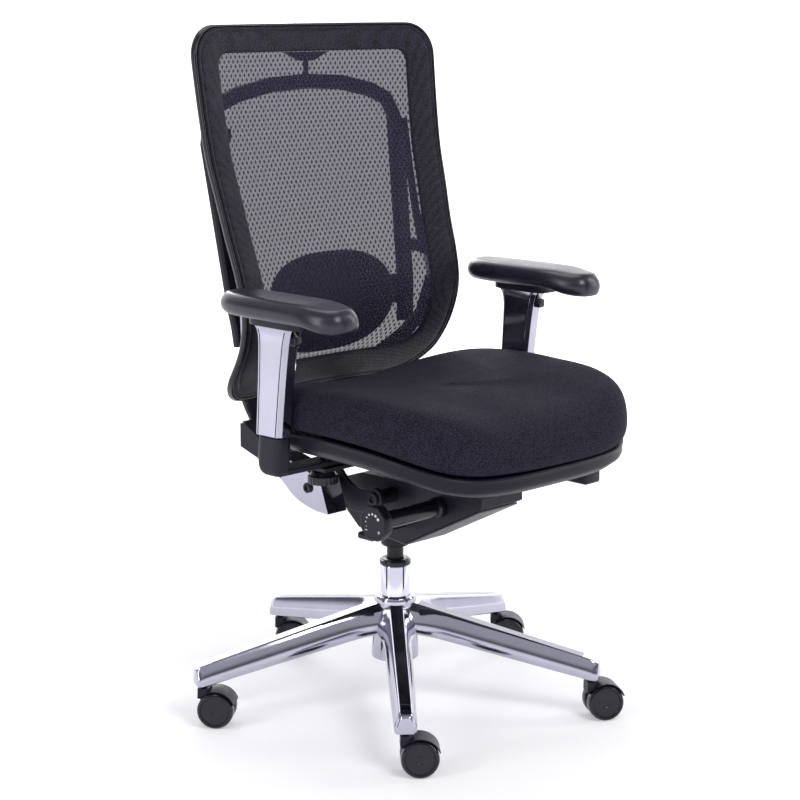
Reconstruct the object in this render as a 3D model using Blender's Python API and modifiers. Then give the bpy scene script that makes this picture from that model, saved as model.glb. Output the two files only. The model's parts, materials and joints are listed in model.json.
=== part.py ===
"""Swivel office chair with a mesh back, a moulded seat, adjustable armrests and a five-arm caster base.

Metres, +Z up. The chair faces -Y. Every piece is placed in the chair's own coordinates, whose Z axis is
the gas column's axis. The empty named chair sets that axis a little to -X, so that the world origin lies
at the middle of the floor area that the whole chair covers.
"""

import math

import bmesh
import bpy
from mathutils import Matrix, Vector

# Driving dimensions
COLUMN_X = -0.026  # column axis from the middle of the chair's footprint
GAP = 0.0004  # clearance between neighbouring pieces
RUN_GAP = 0.0008  # clearance at sliding and turning fits

STEM_CIRCLE = 0.335  # column axis to caster stem
ARM_HEADINGS = [-132.0 + 72.0 * k for k in range(5)]  # degrees from +X
HUB_TOP = 0.188
ARM_TIP_TOP = 0.104
ARM_TIP_UNDER = 0.0700
COLUMN_RADIUS = 0.025
COLUMN_TOP = 0.240
CAP_TOP = 0.251
PISTON_RADIUS = 0.014
PISTON_TOP = 0.300

WHEEL_RADIUS = 0.030  # to the flats of its facets
WHEEL_WIDTH = 0.0195
WHEEL_SIDES = 24
HOOD_WEB = 0.008
TRAIL = 0.0215
TRAIL_HEADINGS = [-42.0, -33.0, -45.0, -45.0, -51.0]  # degrees from +X, in the order of the arms

SEAT_HALF_WIDTH = 0.256
SEAT_HALF_DEPTH = 0.2425
SEAT_CENTRE_Y = -0.1175
SHELL_THICKNESS = 0.021
RECLINE_AXIS = Vector((0.0, -0.0425, 0.375))
CARRIER_BOLT = Vector((0.0, 0.0500, 0.3880))
SEAT_TILT_AXIS = Vector((0.0, -0.105, 0.412))
TENSION_AXIS = Vector((0.0, -0.150, 0.374))

HOUSING_HALF = 0.048
PLATE_INNER, PLATE_OUTER = 0.0840, 0.0915  # black side plates, from the middle
CARRIER_INNER, CARRIER_OUTER = 0.108, 0.150  # polished arms of the back carrier, from the middle

ARM_X = 0.280
ARM_LEAN = math.radians(5.2)  # the post leans forward as it rises
ARM_FOOT = Vector((0.0, -0.0115, 0.440))
POST_SET_BACK = 0.003  # the sleeve's middle behind the inner post's
TONGUE_Y = -0.016  # middle of the bracket's tongue under the seat
CLAMP_X = 0.178  # width-clamp knob from the middle
PAD_CENTRE_Y = -0.051
PAD_HALF_LENGTH = 0.136
PAD_HALF_WIDTH = 0.046
PAD_UNDER = 0.6895

BACK_CONCAVITY = 0.028
FRAME_DEPTH = 0.014
FRAME_BORDER = 0.058

PARTS = bpy.data.collections.new("swivel_office_chair")
AXES = {}  # place of each empty, in the chair's coordinates


# ---------------------------------------------------------------- helpers


def clear_scene():
    for obj in list(bpy.data.objects):
        bpy.data.objects.remove(obj, do_unlink=True)


def material(name, colour, roughness, metallic=0.0):
    made = bpy.data.materials.new(name)
    made.use_nodes = True
    shader = made.node_tree.nodes["Principled BSDF"]
    shader.inputs["Base Color"].default_value = (*colour, 1.0)
    shader.inputs["Roughness"].default_value = roughness
    shader.inputs["Metallic"].default_value = metallic
    made.diffuse_color = (*colour, 1.0)
    return made


def empty(name, place, parent=None, heading=0.0):
    """An empty at a place in the chair's coordinates, turned by heading degrees about Z."""
    made = bpy.data.objects.new(name, None)
    made.empty_display_size = 0.03
    PARTS.objects.link(made)
    AXES[name] = Vector(place)
    made.parent = parent
    made.location = Vector(place) - (AXES[parent.name] if parent else Vector())
    made.rotation_euler.z = math.radians(heading)
    return made


def piece(name, mesh, look, parent, origin=None):
    """A node whose mesh is in the chair's coordinates, with its own origin moved to the given place."""
    origin = Vector(origin) if origin is not None else AXES[parent.name]
    mesh.transform(Matrix.Translation(-origin))
    made = bpy.data.objects.new(name, mesh)
    PARTS.objects.link(made)
    made.parent = parent
    made.location = origin - AXES[parent.name]
    mesh.materials.append(look)
    mesh.shade_smooth()
    mesh.set_sharp_from_angle(angle=math.radians(35.0))
    return made


def mesh_of(bm, name="piece"):
    bmesh.ops.recalc_face_normals(bm, faces=bm.faces)
    mesh = bpy.data.meshes.new(name)
    bm.to_mesh(mesh)
    bm.free()
    return mesh


def moved(mesh, matrix):
    mesh.transform(matrix)
    return mesh


def block(low, high, bevel=0.0, steps=1):
    """A box between two corners, with its edges rounded."""
    low, high = Vector(low), Vector(high)
    bm = bmesh.new()
    bmesh.ops.create_cube(bm, size=1.0)
    bmesh.ops.scale(bm, vec=high - low, verts=bm.verts)
    bmesh.ops.translate(bm, vec=(high + low) / 2, verts=bm.verts)
    if bevel:
        bmesh.ops.bevel(bm, geom=bm.edges[:], offset=bevel, segments=steps, affect="EDGES", profile=0.5)
    return mesh_of(bm)


def rod(start, end, radius, end_radius=None, sides=16, bevel=0.0):
    """A cylinder or cone between two points, its end edges chamfered."""
    start, end = Vector(start), Vector(end)
    along = end - start
    bm = bmesh.new()
    bmesh.ops.create_cone(bm, cap_ends=True, segments=sides, radius1=radius,
                          radius2=end_radius or radius, depth=along.length)
    if bevel:
        rims = [edge for edge in bm.edges if any(len(face.verts) > 4 for face in edge.link_faces)]
        bmesh.ops.bevel(bm, geom=rims, offset=bevel, segments=1, affect="EDGES")
    turn = Vector((0, 0, 1)).rotation_difference(along.normalized()).to_matrix().to_4x4()
    bmesh.ops.transform(bm, matrix=Matrix.Translation((start + end) / 2) @ turn, verts=bm.verts)
    return mesh_of(bm)


def loft(rings, looped=False):
    """A closed solid through rings of points: capped at both ends, or joined end to end."""
    bm = bmesh.new()
    rows = [[bm.verts.new(point) for point in ring] for ring in rings]
    count = len(rows[0])
    pairs = list(zip(rows, rows[1:]))
    if looped:
        pairs.append((rows[-1], rows[0]))
    for near, far in pairs:
        for i in range(count):
            j = (i + 1) % count
            bm.faces.new((near[i], near[j], far[j], far[i]))
    if not looped:
        bm.faces.new(rows[0])
        bm.faces.new(rows[-1])
    caps = [face for face in bm.faces if len(face.verts) > 4]
    bmesh.ops.triangulate(bm, faces=caps, ngon_method="EAR_CLIP")
    return mesh_of(bm)


def cushion_solid(outline, fractions, layers):
    """A closed solid with one outline and several layers.

    Each layer is a function of (a, b, fraction) that gives a point, where a and b are the outline's
    coordinates scaled by the fraction. The first and last layers are whole faces down to the middle,
    and the layers between them only shape the side wall."""
    bm = bmesh.new()
    count = len(outline)
    walls = []
    for number, layer in enumerate(layers):
        rim = [bm.verts.new(layer(a, b, 1.0)) for a, b in outline]
        walls.append(rim)
        if 0 < number < len(layers) - 1:
            continue
        outer = rim
        for part in fractions:
            inner = [bm.verts.new(layer(a * part, b * part, part)) for a, b in outline]
            for i in range(count):
                j = (i + 1) % count
                bm.faces.new((outer[i], outer[j], inner[j], inner[i]))
            outer = inner
        centre = bm.verts.new(layer(0.0, 0.0, 0.0))
        for i in range(count):
            bm.faces.new((outer[i], outer[(i + 1) % count], centre))
    for upper, lower in zip(walls, walls[1:]):
        for i in range(count):
            j = (i + 1) % count
            bm.faces.new((upper[i], upper[j], lower[j], lower[i]))
    return mesh_of(bm)


def combined(base, joined=(), cut=()):
    """The mesh of base with others joined to it and cut from it by Boolean modifiers."""
    cutters = bpy.data.collections.new("cutters")
    bpy.context.scene.collection.children.link(cutters)
    body = bpy.data.objects.new("body", base)
    cutters.objects.link(body)
    for meshes, operation in ((joined, "UNION"), (cut, "DIFFERENCE")):
        for mesh in meshes:
            tool = bpy.data.objects.new("tool", mesh)
            tool.hide_render = True
            tool.display_type = "WIRE"
            cutters.objects.link(tool)
            step = body.modifiers.new(operation, "BOOLEAN")
            step.operation = operation
            step.solver = "EXACT"
            step.object = tool
    graph = bpy.context.evaluated_depsgraph_get()
    result = bpy.data.meshes.new_from_object(body.evaluated_get(graph))
    for obj in list(cutters.objects):
        bpy.data.objects.remove(obj, do_unlink=True)
    bpy.data.collections.remove(cutters)
    return result


def plate(outline, axis_low, axis_high, plane="YZ"):
    """A flat outline in the YZ or XZ plane, given thickness along the remaining axis."""
    if plane == "YZ":
        rings = [[(x, a, b) for a, b in outline] for x in (axis_low, axis_high)]
    else:
        rings = [[(a, y, b) for a, b in outline] for y in (axis_low, axis_high)]
    return loft(rings)


def superellipse(half_a, half_b, power, count):
    points = []
    for k in range(count):
        angle = 2.0 * math.pi * (k + 0.5) / count
        c, s = math.cos(angle), math.sin(angle)
        points.append((math.copysign(abs(c) ** (2.0 / power), c) * half_a,
                       math.copysign(abs(s) ** (2.0 / power), s) * half_b))
    return points


def smooth_value(table, at):
    """Catmull-Rom interpolation through (position, value) rows, flat past both ends."""
    if at <= table[0][0]:
        return table[0][1]
    if at >= table[-1][0]:
        return table[-1][1]
    k = max(i for i in range(len(table) - 1) if table[i][0] <= at)
    (x0, v0), (x1, v1) = table[k], table[k + 1]
    before = table[k - 1] if k else (2 * x0 - x1, 2 * v0 - v1)
    after = table[k + 2] if k + 2 < len(table) else (2 * x1 - x0, 2 * v1 - v0)
    slope0 = (v1 - before[1]) / (x1 - before[0]) * (x1 - x0)
    slope1 = (after[1] - v0) / (after[0] - x0) * (x1 - x0)
    t = (at - x0) / (x1 - x0)
    return ((2 * t**3 - 3 * t**2 + 1) * v0 + (t**3 - 2 * t**2 + t) * slope0
            + (-2 * t**3 + 3 * t**2) * v1 + (t**3 - t**2) * slope1)


def pin_along_x(centre, reach, radius):
    """A pin, or the cutter for its bore, along X through a point."""
    return rod((-reach, *centre.yz), (reach, *centre.yz), radius, sides=14)


def arc(centre, radius, start, end, steps):
    """Points on a circular arc in a plane, angles in degrees."""
    angles = [math.radians(start + (end - start) * k / steps) for k in range(steps + 1)]
    return [(centre[0] + radius * math.cos(a), centre[1] + radius * math.sin(a)) for a in angles]


# ---------------------------------------------------------------- base and gas lift


def base_arm_ring(along):
    """Section of a base arm at a distance from the column axis: flat ridge, sloping sides, open channel."""
    share = along / STEM_CIRCLE
    top = HUB_TOP - 0.003 - (HUB_TOP - 0.003 - ARM_TIP_TOP) * share
    under = 0.1365 - (0.1365 - ARM_TIP_UNDER) * share
    half = 0.0240 - 0.0055 * share
    ridge = 0.0115 - 0.0020 * share
    waist = under + 0.45 * (top - under)
    return [(along, -half, under), (along, half, under), (along, half * 0.94, waist),
            (along, ridge, top), (along, -ridge, top), (along, -half * 0.94, waist)]


def base_arm():
    rings = [base_arm_ring(along) for along in (0.009, 0.10, 0.20, STEM_CIRCLE)]
    nose = base_arm_ring(STEM_CIRCLE + 0.014)
    middle = sum((Vector(point) for point in nose), Vector()) / len(nose)
    rings.append([Vector((point[0], middle.y + (point[1] - middle.y) * 0.62,
                          middle.z + (point[2] - middle.z) * (0.8 if point[2] > middle.z else 1.0)))
                  for point in nose])
    return loft(rings)


def build_base(looks, root):
    hub = rod((0, 0, 0.078), (0, 0, HUB_TOP), 0.040, 0.0345, sides=30, bevel=0.003)
    arms = []
    sockets = [rod((0, 0, 0.05), (0, 0, HUB_TOP + 0.01), COLUMN_RADIUS + GAP, sides=24)]
    for heading in ARM_HEADINGS:
        turn = Matrix.Rotation(math.radians(heading), 4, "Z")
        arms.append(moved(base_arm(), turn))
        socket = rod((STEM_CIRCLE, 0, 0.05), (STEM_CIRCLE, 0, 0.0935), 0.0062, sides=12)
        sockets.append(moved(socket, turn))
    piece("base_star", combined(hub, arms, sockets), looks["polished"], root)


def turned(name, profile, look, parent, sides=24):
    """A turned piece about the Z axis of its parent: a profile of (radius, height), top to bottom."""
    mesh = bpy.data.meshes.new(name)
    points = [(radius, 0.0, height) for radius, height in profile]
    edges = [(k, (k + 1) % len(points)) for k in range(len(points))]
    if profile[0][0] == 0.0:
        edges.pop()
    mesh.from_pydata(points, edges, [])
    mesh.materials.append(look)
    made = bpy.data.objects.new(name, mesh)
    PARTS.objects.link(made)
    made.parent = parent
    add_screw(made, sides)
    return made


def add_screw(obj, sides):
    screw = obj.modifiers.new("turn", "SCREW")
    screw.axis = "Z"
    screw.steps = sides
    screw.render_steps = sides
    screw.use_merge_vertices = True
    screw.merge_threshold = 0.00001
    screw.use_smooth_shade = False


def build_gas_lift(looks, root, lift):
    outer = COLUMN_RADIUS - 0.0001
    bore = PISTON_RADIUS + RUN_GAP
    turned("gas_column", [(0.0, 0.096), (bore, 0.096), (bore, COLUMN_TOP), (outer, COLUMN_TOP),
                          (outer, 0.090), (0.021, 0.084), (0.0, 0.084)], looks["chrome"], root, sides=24)
    cap = COLUMN_RADIUS + 0.0012
    turned("column_cap", [(bore, COLUMN_TOP + GAP), (bore, CAP_TOP), (cap - 0.004, CAP_TOP),
                          (cap, CAP_TOP - 0.003), (cap, COLUMN_TOP + GAP)], looks["black"], root, sides=24)
    mesh = rod((0, 0, 0.118), (0, 0, PISTON_TOP), PISTON_RADIUS, sides=18)
    piece("gas_piston", mesh, looks["dark_steel"], lift)


# ---------------------------------------------------------------- casters


def wheel_profile():
    """Half of a wheel's section, from its blind bore round its tread to the middle of its outer face."""
    rim = WHEEL_RADIUS / math.cos(math.pi / WHEEL_SIDES)
    width = WHEEL_WIDTH
    bore = 0.0046
    return [(0.0, width), (rim - 0.0035, width - 0.0012), (rim, width - 0.0045), (rim, 0.0015),
            (rim - 0.0015, 0.0), (bore, 0.0), (bore, 0.0145), (0.0, 0.0145)]


def hood_mesh():
    """A caster's hood with its web, axle boss, neck and stem, about the stem axis, with the trail to +X."""
    axle = (TRAIL, WHEEL_RADIUS)
    clear = WHEEL_RADIUS + 0.0012
    outline = (arc(axle, 0.0105, 200, 330, 5) + [(TRAIL + 0.026, 0.0335), (TRAIL + 0.0290, 0.041)]
               + arc(axle, 0.0333, 24, 108, 7) + [(0.0110, 0.0652), (-0.0085, 0.0652), (-0.0090, 0.050)])
    solid = plate(outline, -0.021, 0.021, plane="XZ")
    sides = []
    for low, high in ((-0.03, -HOOD_WEB / 2), (HOOD_WEB / 2, 0.03)):
        sides.append(rod((TRAIL, low, WHEEL_RADIUS), (TRAIL, high, WHEEL_RADIUS), clear, sides=32))
    bore = rod((TRAIL, -0.03, WHEEL_RADIUS), (TRAIL, 0.03, WHEEL_RADIUS), 0.0043, sides=12)
    neck_trim = [block((-0.03, low, 0.02), (-0.004, high, 0.0590))
                 for low, high in ((-0.03, -0.0145), (0.0145, 0.03))]
    stem = rod((0, 0, 0.060), (0, 0, 0.0925), 0.0055, sides=12)
    return combined(solid, [stem], sides + [bore] + neck_trim)


def build_casters(looks, root):
    hood = hood_mesh()
    hood.materials.append(looks["black"])
    for number, (arm, trail) in enumerate(zip(ARM_HEADINGS, TRAIL_HEADINGS), start=1):
        angle = math.radians(arm)
        stem = (STEM_CIRCLE * math.cos(angle), STEM_CIRCLE * math.sin(angle), 0.0)
        name = f"caster_{number}"
        swivel = empty(f"{name}_swivel", stem, root, trail)
        fork = bpy.data.objects.new(f"{name}_hood", hood)
        PARTS.objects.link(fork)
        fork.parent = swivel
        pin = rod((0, -0.0165, 0), (0, 0.0165, 0), 0.0038, sides=10)
        pin.materials.append(looks["steel"])
        axle = bpy.data.objects.new(f"{name}_axle", pin)
        PARTS.objects.link(axle)
        axle.parent = swivel
        axle.location = (TRAIL, 0, WHEEL_RADIUS)
        for side, sign in (("left", 1.0), ("right", -1.0)):
            wheel = turned(f"{name}_wheel_{side}", wheel_profile(), looks["black"], swivel, WHEEL_SIDES)
            wheel.location = (TRAIL, sign * (HOOD_WEB / 2 + GAP), WHEEL_RADIUS)
            flat_down = Matrix.Rotation(math.pi / WHEEL_SIDES, 4, "Z")
            lay = Matrix.Rotation(-sign * math.pi / 2, 4, "X")
            wheel.rotation_euler = (lay @ flat_down).to_euler()


# ---------------------------------------------------------------- mechanism


def build_mechanism(looks, mechanism, recline):
    outline = [(-0.240, 0.385), (-0.240, 0.402), (-0.150, 0.402), (0.030, 0.400), (0.078, 0.384),
               (0.078, 0.340), (0.040, 0.308), (-0.070, 0.298)]
    inner = [(-0.112, 0.330), (-0.112, 0.3945), (0.026, 0.3925), (0.070, 0.379), (0.070, 0.345),
             (0.036, 0.318), (-0.064, 0.308)]
    half = HOUSING_HALF
    shell = plate(outline, -half, half)
    hollow = plate(inner, -half + 0.005, half - 0.005)
    mouth = block((-half + 0.006, -0.058, 0.280), (half - 0.006, 0.032, 0.350))
    hollowed = combined(shell, (), [hollow, mouth])
    boss = rod((0, 0, 0.2735), (0, 0, 0.396), 0.024, sides=20, bevel=0.002)
    taper = rod((0, 0, 0.26), (0, 0, PISTON_TOP + 0.002), PISTON_RADIUS + GAP, sides=18)
    back_bore = pin_along_x(RECLINE_AXIS, 0.15, 0.0086)
    front_bore = pin_along_x(SEAT_TILT_AXIS, 0.15, 0.0066)
    shaft = rod((-0.15, *TENSION_AXIS.yz), (-0.036, *TENSION_AXIS.yz), 0.0125, sides=16)
    ears = [block((low, -0.122, 0.385), (low + 0.008, -0.088, 0.424), 0.002) for low in (-0.0475, 0.0395)]
    housing = combined(hollowed, [boss] + ears, [taper, back_bore, front_bore, shaft])
    piece("mechanism_housing", housing, looks["black"], mechanism)

    under = [(-0.232, 0.3809), (-0.070, 0.2980), (0.040, 0.3080), (0.070, 0.3333)]
    cover_outline = [(y, z - 0.0008) for y, z in under] + [(y, z - 0.0040) for y, z in under[::-1]]
    lid = plate(cover_outline, -half + 0.002, half - 0.002)
    opening = rod((0, 0, 0.25), (0, 0, 0.45), 0.0248, sides=20)
    piece("mechanism_cover", combined(lid, (), [opening]), looks["grey"], mechanism)

    y, z = RECLINE_AXIS.yz
    shoulders = []
    spans = ((half + GAP, PLATE_INNER - GAP, 0.0125), (PLATE_OUTER + GAP, PLATE_OUTER + 0.004, 0.0110))
    for sign in (1.0, -1.0):
        for start, end, radius in spans:
            shoulders.append(rod((sign * start, y, z), (sign * end, y, z), radius, sides=16))
    pivot = combined(pin_along_x(RECLINE_AXIS, PLATE_OUTER + 0.003, 0.0080), shoulders)
    piece("recline_pivot_pin", pivot, looks["steel"], mechanism)
    piece("seat_pivot_pin", pin_along_x(SEAT_TILT_AXIS, 0.0515, 0.0060), looks["steel"], mechanism)
    spring = rod((0, -0.056, 0.342), (0, -0.106, 0.350), 0.0105, sides=14)
    piece("tension_spring", spring, looks["steel"], mechanism)

    ear = arc(RECLINE_AXIS.yz, 0.0185, 70, 235, 7)
    link = ([(0.075, 0.4180), (0.050, 0.4200), (0.036, 0.4120), (0.018, 0.3955), (0.004, 0.3875),
             (-0.012, 0.3860), (-0.026, 0.3890)] + ear + [(-0.020, 0.3480), (0.020, 0.3470), (0.075, 0.3640)])
    for side, sign in (("left", 1.0), ("right", -1.0)):
        low, high = sorted((sign * PLATE_INNER, sign * PLATE_OUTER))
        bores = [pin_along_x(RECLINE_AXIS, 0.2, 0.0086), pin_along_x(CARRIER_BOLT, 0.2, 0.0054)]
        piece(f"side_plate_{side}", combined(plate(link, low, high), (), bores), looks["black"], recline)
        y, z = CARRIER_BOLT.yz
        spans = ((0.0820, 0.1520, 0.0050), (PLATE_OUTER + GAP, CARRIER_INNER - GAP, 0.0095),
                 (CARRIER_OUTER + GAP, CARRIER_OUTER + 0.0045, 0.0085))
        shank, spacer, head = [rod((sign * start, y, z), (sign * end, y, z), radius, sides=14)
                               for start, end, radius in spans]
        piece(f"carrier_bolt_{side}", combined(shank, [spacer, head]), looks["dark_steel"], recline)


def build_controls(looks, mechanism, knob_axis, lever_axis, lock_axis):
    y, z = TENSION_AXIS.yz
    tube = combined(rod((-0.1795, y, z), (-0.038, y, z), 0.0115, sides=16),
                    [rod((-0.1740, y, z), (-0.0600, y, z), 0.0140, sides=16),
                     rod((-0.0610, y, z), (-0.0485, y, z), 0.0168, sides=16, bevel=0.002)])
    piece("tension_tube", tube, looks["black"], mechanism)
    knob = rod((-0.1985, y, z), (-0.1805, y, z), 0.0290, sides=8, bevel=0.002)
    knob.transform(Matrix.Translation((0, y, z)) @ Matrix.Rotation(math.pi / 8, 4, "X")
                   @ Matrix.Translation((0, -y, -z)))
    piece("tension_knob", knob, looks["black"], knob_axis)

    stem = rod(AXES[lever_axis.name] + Vector((0.0015, 0, 0)), (0.222, -0.208, 0.392), 0.0050, sides=10)
    blade = block((0.212, -0.235, 0.378), (0.250, -0.185, 0.408), 0.004, 2)
    piece("height_lever", combined(stem, [blade]), looks["black"], lever_axis)

    at = AXES[lock_axis.name]
    lock_stem = rod(at, at + Vector((-0.080, 0, -0.004)), 0.0045, sides=10)
    lock_blade = block((at.x - 0.090, at.y - 0.018, at.z - 0.0095),
                       (at.x - 0.068, at.y + 0.018, at.z + 0.0015), 0.003)
    piece("tilt_lock_lever", combined(lock_stem, [lock_blade]), looks["black"], lock_axis)


# ---------------------------------------------------------------- seat


RIM_UNDER = [(-0.365, 0.446), (-0.330, 0.451), (-0.260, 0.472), (-0.180, 0.484), (0.0, 0.487), (0.13, 0.483)]
SEAT_TOP = [(-0.365, 0.516), (-0.345, 0.538), (-0.300, 0.556), (-0.200, 0.569), (-0.050, 0.569),
            (0.05, 0.563), (0.13, 0.548)]


def rim_under(y):
    return smooth_value(RIM_UNDER, y)


def seat_outline(count=32):
    """The seat's outline about its middle: squarer at the rear than at the front."""
    rear = superellipse(SEAT_HALF_WIDTH, SEAT_HALF_DEPTH, 4.2, count)
    front = superellipse(SEAT_HALF_WIDTH, SEAT_HALF_DEPTH, 3.3, count)
    return [back if back[1] > 0 else fore for back, fore in zip(rear, front)]


def build_seat(looks, tilt, slide):
    outline = seat_outline()

    def shell_top(a, b, part):
        y = b + SEAT_CENTRE_Y
        return a, y, rim_under(y) + SHELL_THICKNESS

    def shell_rim(a, b, part):
        y = b + SEAT_CENTRE_Y
        return a, y, rim_under(y)

    def shell_under(a, b, part):
        y = b * 0.9 + SEAT_CENTRE_Y
        return a * 0.9, y, rim_under(y) - 0.026 + 0.010 * part

    shell = cushion_solid(outline, (0.93, 0.75, 0.4), (shell_top, shell_rim, shell_under))
    runners = [block((low, -0.200, 0.4550), (low + 0.018, 0.060, 0.4800)) for low in (-0.096, 0.078)]
    piece("seat_shell", combined(shell, runners), looks["satin"], slide)

    def cushion_top(a, b, part):
        y = b * 0.95 + SEAT_CENTRE_Y
        side = abs(a) / SEAT_HALF_WIDTH
        saddle = 0.014 * side**2 - 0.005
        return a * 0.95, y, smooth_value(SEAT_TOP, y) + saddle - (0.018 if part == 1.0 else 0.0)

    def cushion_wall(a, b, part):
        y = b + SEAT_CENTRE_Y
        under = rim_under(y) + SHELL_THICKNESS
        along = 1.008 if b > 0 else 1.026
        return a * 1.026, b * along + SEAT_CENTRE_Y, under + 0.42 * (smooth_value(SEAT_TOP, y) - under)

    def cushion_low(a, b, part):
        y = b + SEAT_CENTRE_Y
        return a, y, rim_under(y) + SHELL_THICKNESS + 0.0015

    cushion = cushion_solid(outline, (0.93, 0.75, 0.4), (cushion_top, cushion_wall, cushion_low))
    piece("seat_cushion", cushion, looks["fabric"], slide)

    rails = [block((low, -0.165, 0.4430), (low + 0.022, 0.075, 0.4545), 0.001) for low in (-0.098, 0.076)]
    bed = block((-0.100, -0.230, 0.4370), (0.100, 0.090, 0.4440), 0.001)
    wings = [block((low, TONGUE_Y - 0.026, 0.4360), (low + 0.110, TONGUE_Y + 0.026, 0.4420))
             for low in (-0.198, 0.088)]
    lugs = [block((low, -0.118, 0.4035), (low + 0.005, -0.092, 0.440)) for low in (-0.0385, 0.0335)]
    bores = [pin_along_x(SEAT_TILT_AXIS, 0.07, 0.0066)]
    clamp_bores = [rod((sign * CLAMP_X, TONGUE_Y, 0.42), (sign * CLAMP_X, TONGUE_Y, 0.46), 0.0054, sides=10)
                   for sign in (-1.0, 1.0)]
    piece("seat_plate", combined(bed, rails + wings + lugs, bores + clamp_bores), looks["dark_steel"], tilt)


# ---------------------------------------------------------------- armrests


def post_section(height, half_x, half_y, chamfer):
    """An octagonal section of the leaning arm post, at a height along it, cut level."""
    x, y, c = half_x, half_y, chamfer
    flat = [(-x, -y + c), (-x, y - c), (-x + c, y), (x - c, y),
            (x, y - c), (x, -y + c), (x - c, -y), (-x + c, -y)]
    return [(a, b + POST_SET_BACK, height - (b + POST_SET_BACK) * math.tan(ARM_LEAN)) for a, b in flat]


def arm_frame(sign):
    """The post's own axes: its foot under the seat, leaning forward as it rises."""
    foot = Vector((sign * ARM_X, ARM_FOOT.y, ARM_FOOT.z))
    return Matrix.Translation(foot) @ Matrix.Rotation(ARM_LEAN, 4, "X")


def build_arm(looks, side, sign, width_axis, height_axis, clamp_axis):
    frame = arm_frame(sign)
    inner = moved(block((-0.008, -0.016, 0.010), (0.008, 0.016, 0.196), 0.0015), frame)
    side_view = [(-0.0400, 0.4440), (-0.0150, 0.4450), (0.0050, 0.4530), (0.0105, 0.4680), (0.0075, 0.5040),
                 (-0.0425, 0.5040)]
    cover = plate(side_view, sign * ARM_X - 0.014, sign * ARM_X + 0.014)
    low, high = sorted((sign * 0.106, sign * (ARM_X + 0.012)))
    tongue = block((low, TONGUE_Y - 0.020, 0.4430), (high, TONGUE_Y + 0.020, 0.4515), 0.002)
    slot_x = sorted((sign * (CLAMP_X - 0.036), sign * (CLAMP_X + 0.006)))
    slot = block((slot_x[0], TONGUE_Y - 0.006, 0.43), (slot_x[1], TONGUE_Y + 0.006, 0.46))
    bracket = combined(tongue, [cover, inner], [slot])
    piece(f"arm_bracket_{side}", bracket, looks["black"], width_axis)

    bore = moved(block((-0.0088, -0.0168, 0.02), (0.0088, 0.0168, 0.24)), frame)
    stations = ((0.066, 0.0285), (0.150, 0.0307), (0.215, 0.0335), (0.240, 0.0365))
    sleeve = loft([post_section(at, 0.0150, half, 0.0055) for at, half in stations])
    sleeve = combined(moved(sleeve, frame), (), [bore])
    button_hole = block((sign * ARM_X - 0.0085, -0.09, 0.650), (sign * ARM_X + 0.0085, -0.030, 0.668))
    sleeve = combined(sleeve, (), [button_hole])
    piece(f"arm_sleeve_{side}", sleeve, looks["polished"], height_axis)

    top = frame @ Vector((0, 0, 0.2405))
    flange = block((top.x - 0.024, top.y - 0.062, top.z),
                   (top.x + 0.024, top.y + 0.055, PAD_UNDER - GAP), 0.002)
    piece(f"arm_flange_{side}", flange, looks["black"], height_axis)

    button = block((sign * ARM_X - 0.0075, -0.0730, 0.6512), (sign * ARM_X + 0.0075, -0.0535, 0.6668), 0.002)
    piece(f"arm_button_{side}", button, looks["black"],
          empty(f"arm_button_axis_{side}", (sign * ARM_X, -0.07, 0.659), height_axis))

    outline = superellipse(PAD_HALF_WIDTH, PAD_HALF_LENGTH, 3.2, 24)
    droop = [(-0.19, -0.016), (-0.12, -0.001), (0.0, 0.001), (0.08, 0.000)]

    def pad_layer(height, inset):
        def layer(a, b, part):
            y = b * (1.0 - inset / PAD_HALF_LENGTH) + PAD_CENTRE_Y
            x = sign * ARM_X + a * (1.0 - inset / PAD_HALF_WIDTH)
            sag = smooth_value(droop, y) if height < 0.015 else smooth_value(droop, y) * 0.4
            return x, y, PAD_UNDER + height + sag * (1.0 if part > 0.9 or height > 0.015 else 0.0)
        return layer

    layers = [pad_layer(height, inset)
              for height, inset in ((0.035, 0.012), (0.022, 0.0), (0.010, 0.001), (0.0015, 0.010))]
    piece(f"arm_pad_{side}", cushion_solid(outline, (0.85, 0.45), layers), looks["gloss"], height_axis)

    at = AXES[clamp_axis.name]
    grip = rod((at.x, at.y, 0.4120), (at.x, at.y, 0.4350), 0.0245, 0.0210, sides=16, bevel=0.0025)
    shank = rod((at.x, at.y, 0.430), (at.x, at.y, 0.4580), 0.0045, sides=10)
    piece(f"arm_clamp_knob_{side}", combined(grip, [shank]), looks["black"], clamp_axis)


# ---------------------------------------------------------------- back


BACK_DEPTH = [(0.505, 0.186), (0.550, 0.146), (0.589, 0.116), (0.625, 0.097), (0.680, 0.0855), (0.742, 0.097),
              (0.790, 0.113), (0.857, 0.131), (0.920, 0.149), (1.005, 0.163), (1.086, 0.173), (1.130, 0.177)]
BACK_HALF_WIDTH = [(0.505, 0.219), (0.560, 0.235), (0.625, 0.241), (0.693, 0.248), (0.790, 0.254),
                   (0.920, 0.263), (1.086, 0.270), (1.130, 0.271)]
BACK_LOW, BACK_HIGH = 0.512, 1.130
BACK_CORNER_TOP, BACK_CORNER_LOW = 0.055, 0.060


def back_surface(x, z, behind=0.0):
    """A point on the back's front surface, or behind it: forward at the sides and hollow in the middle."""
    across = x / smooth_value(BACK_HALF_WIDTH, z)
    return Vector((x, smooth_value(BACK_DEPTH, z) + BACK_CONCAVITY * (1.0 - across**2) + behind, z))


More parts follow.
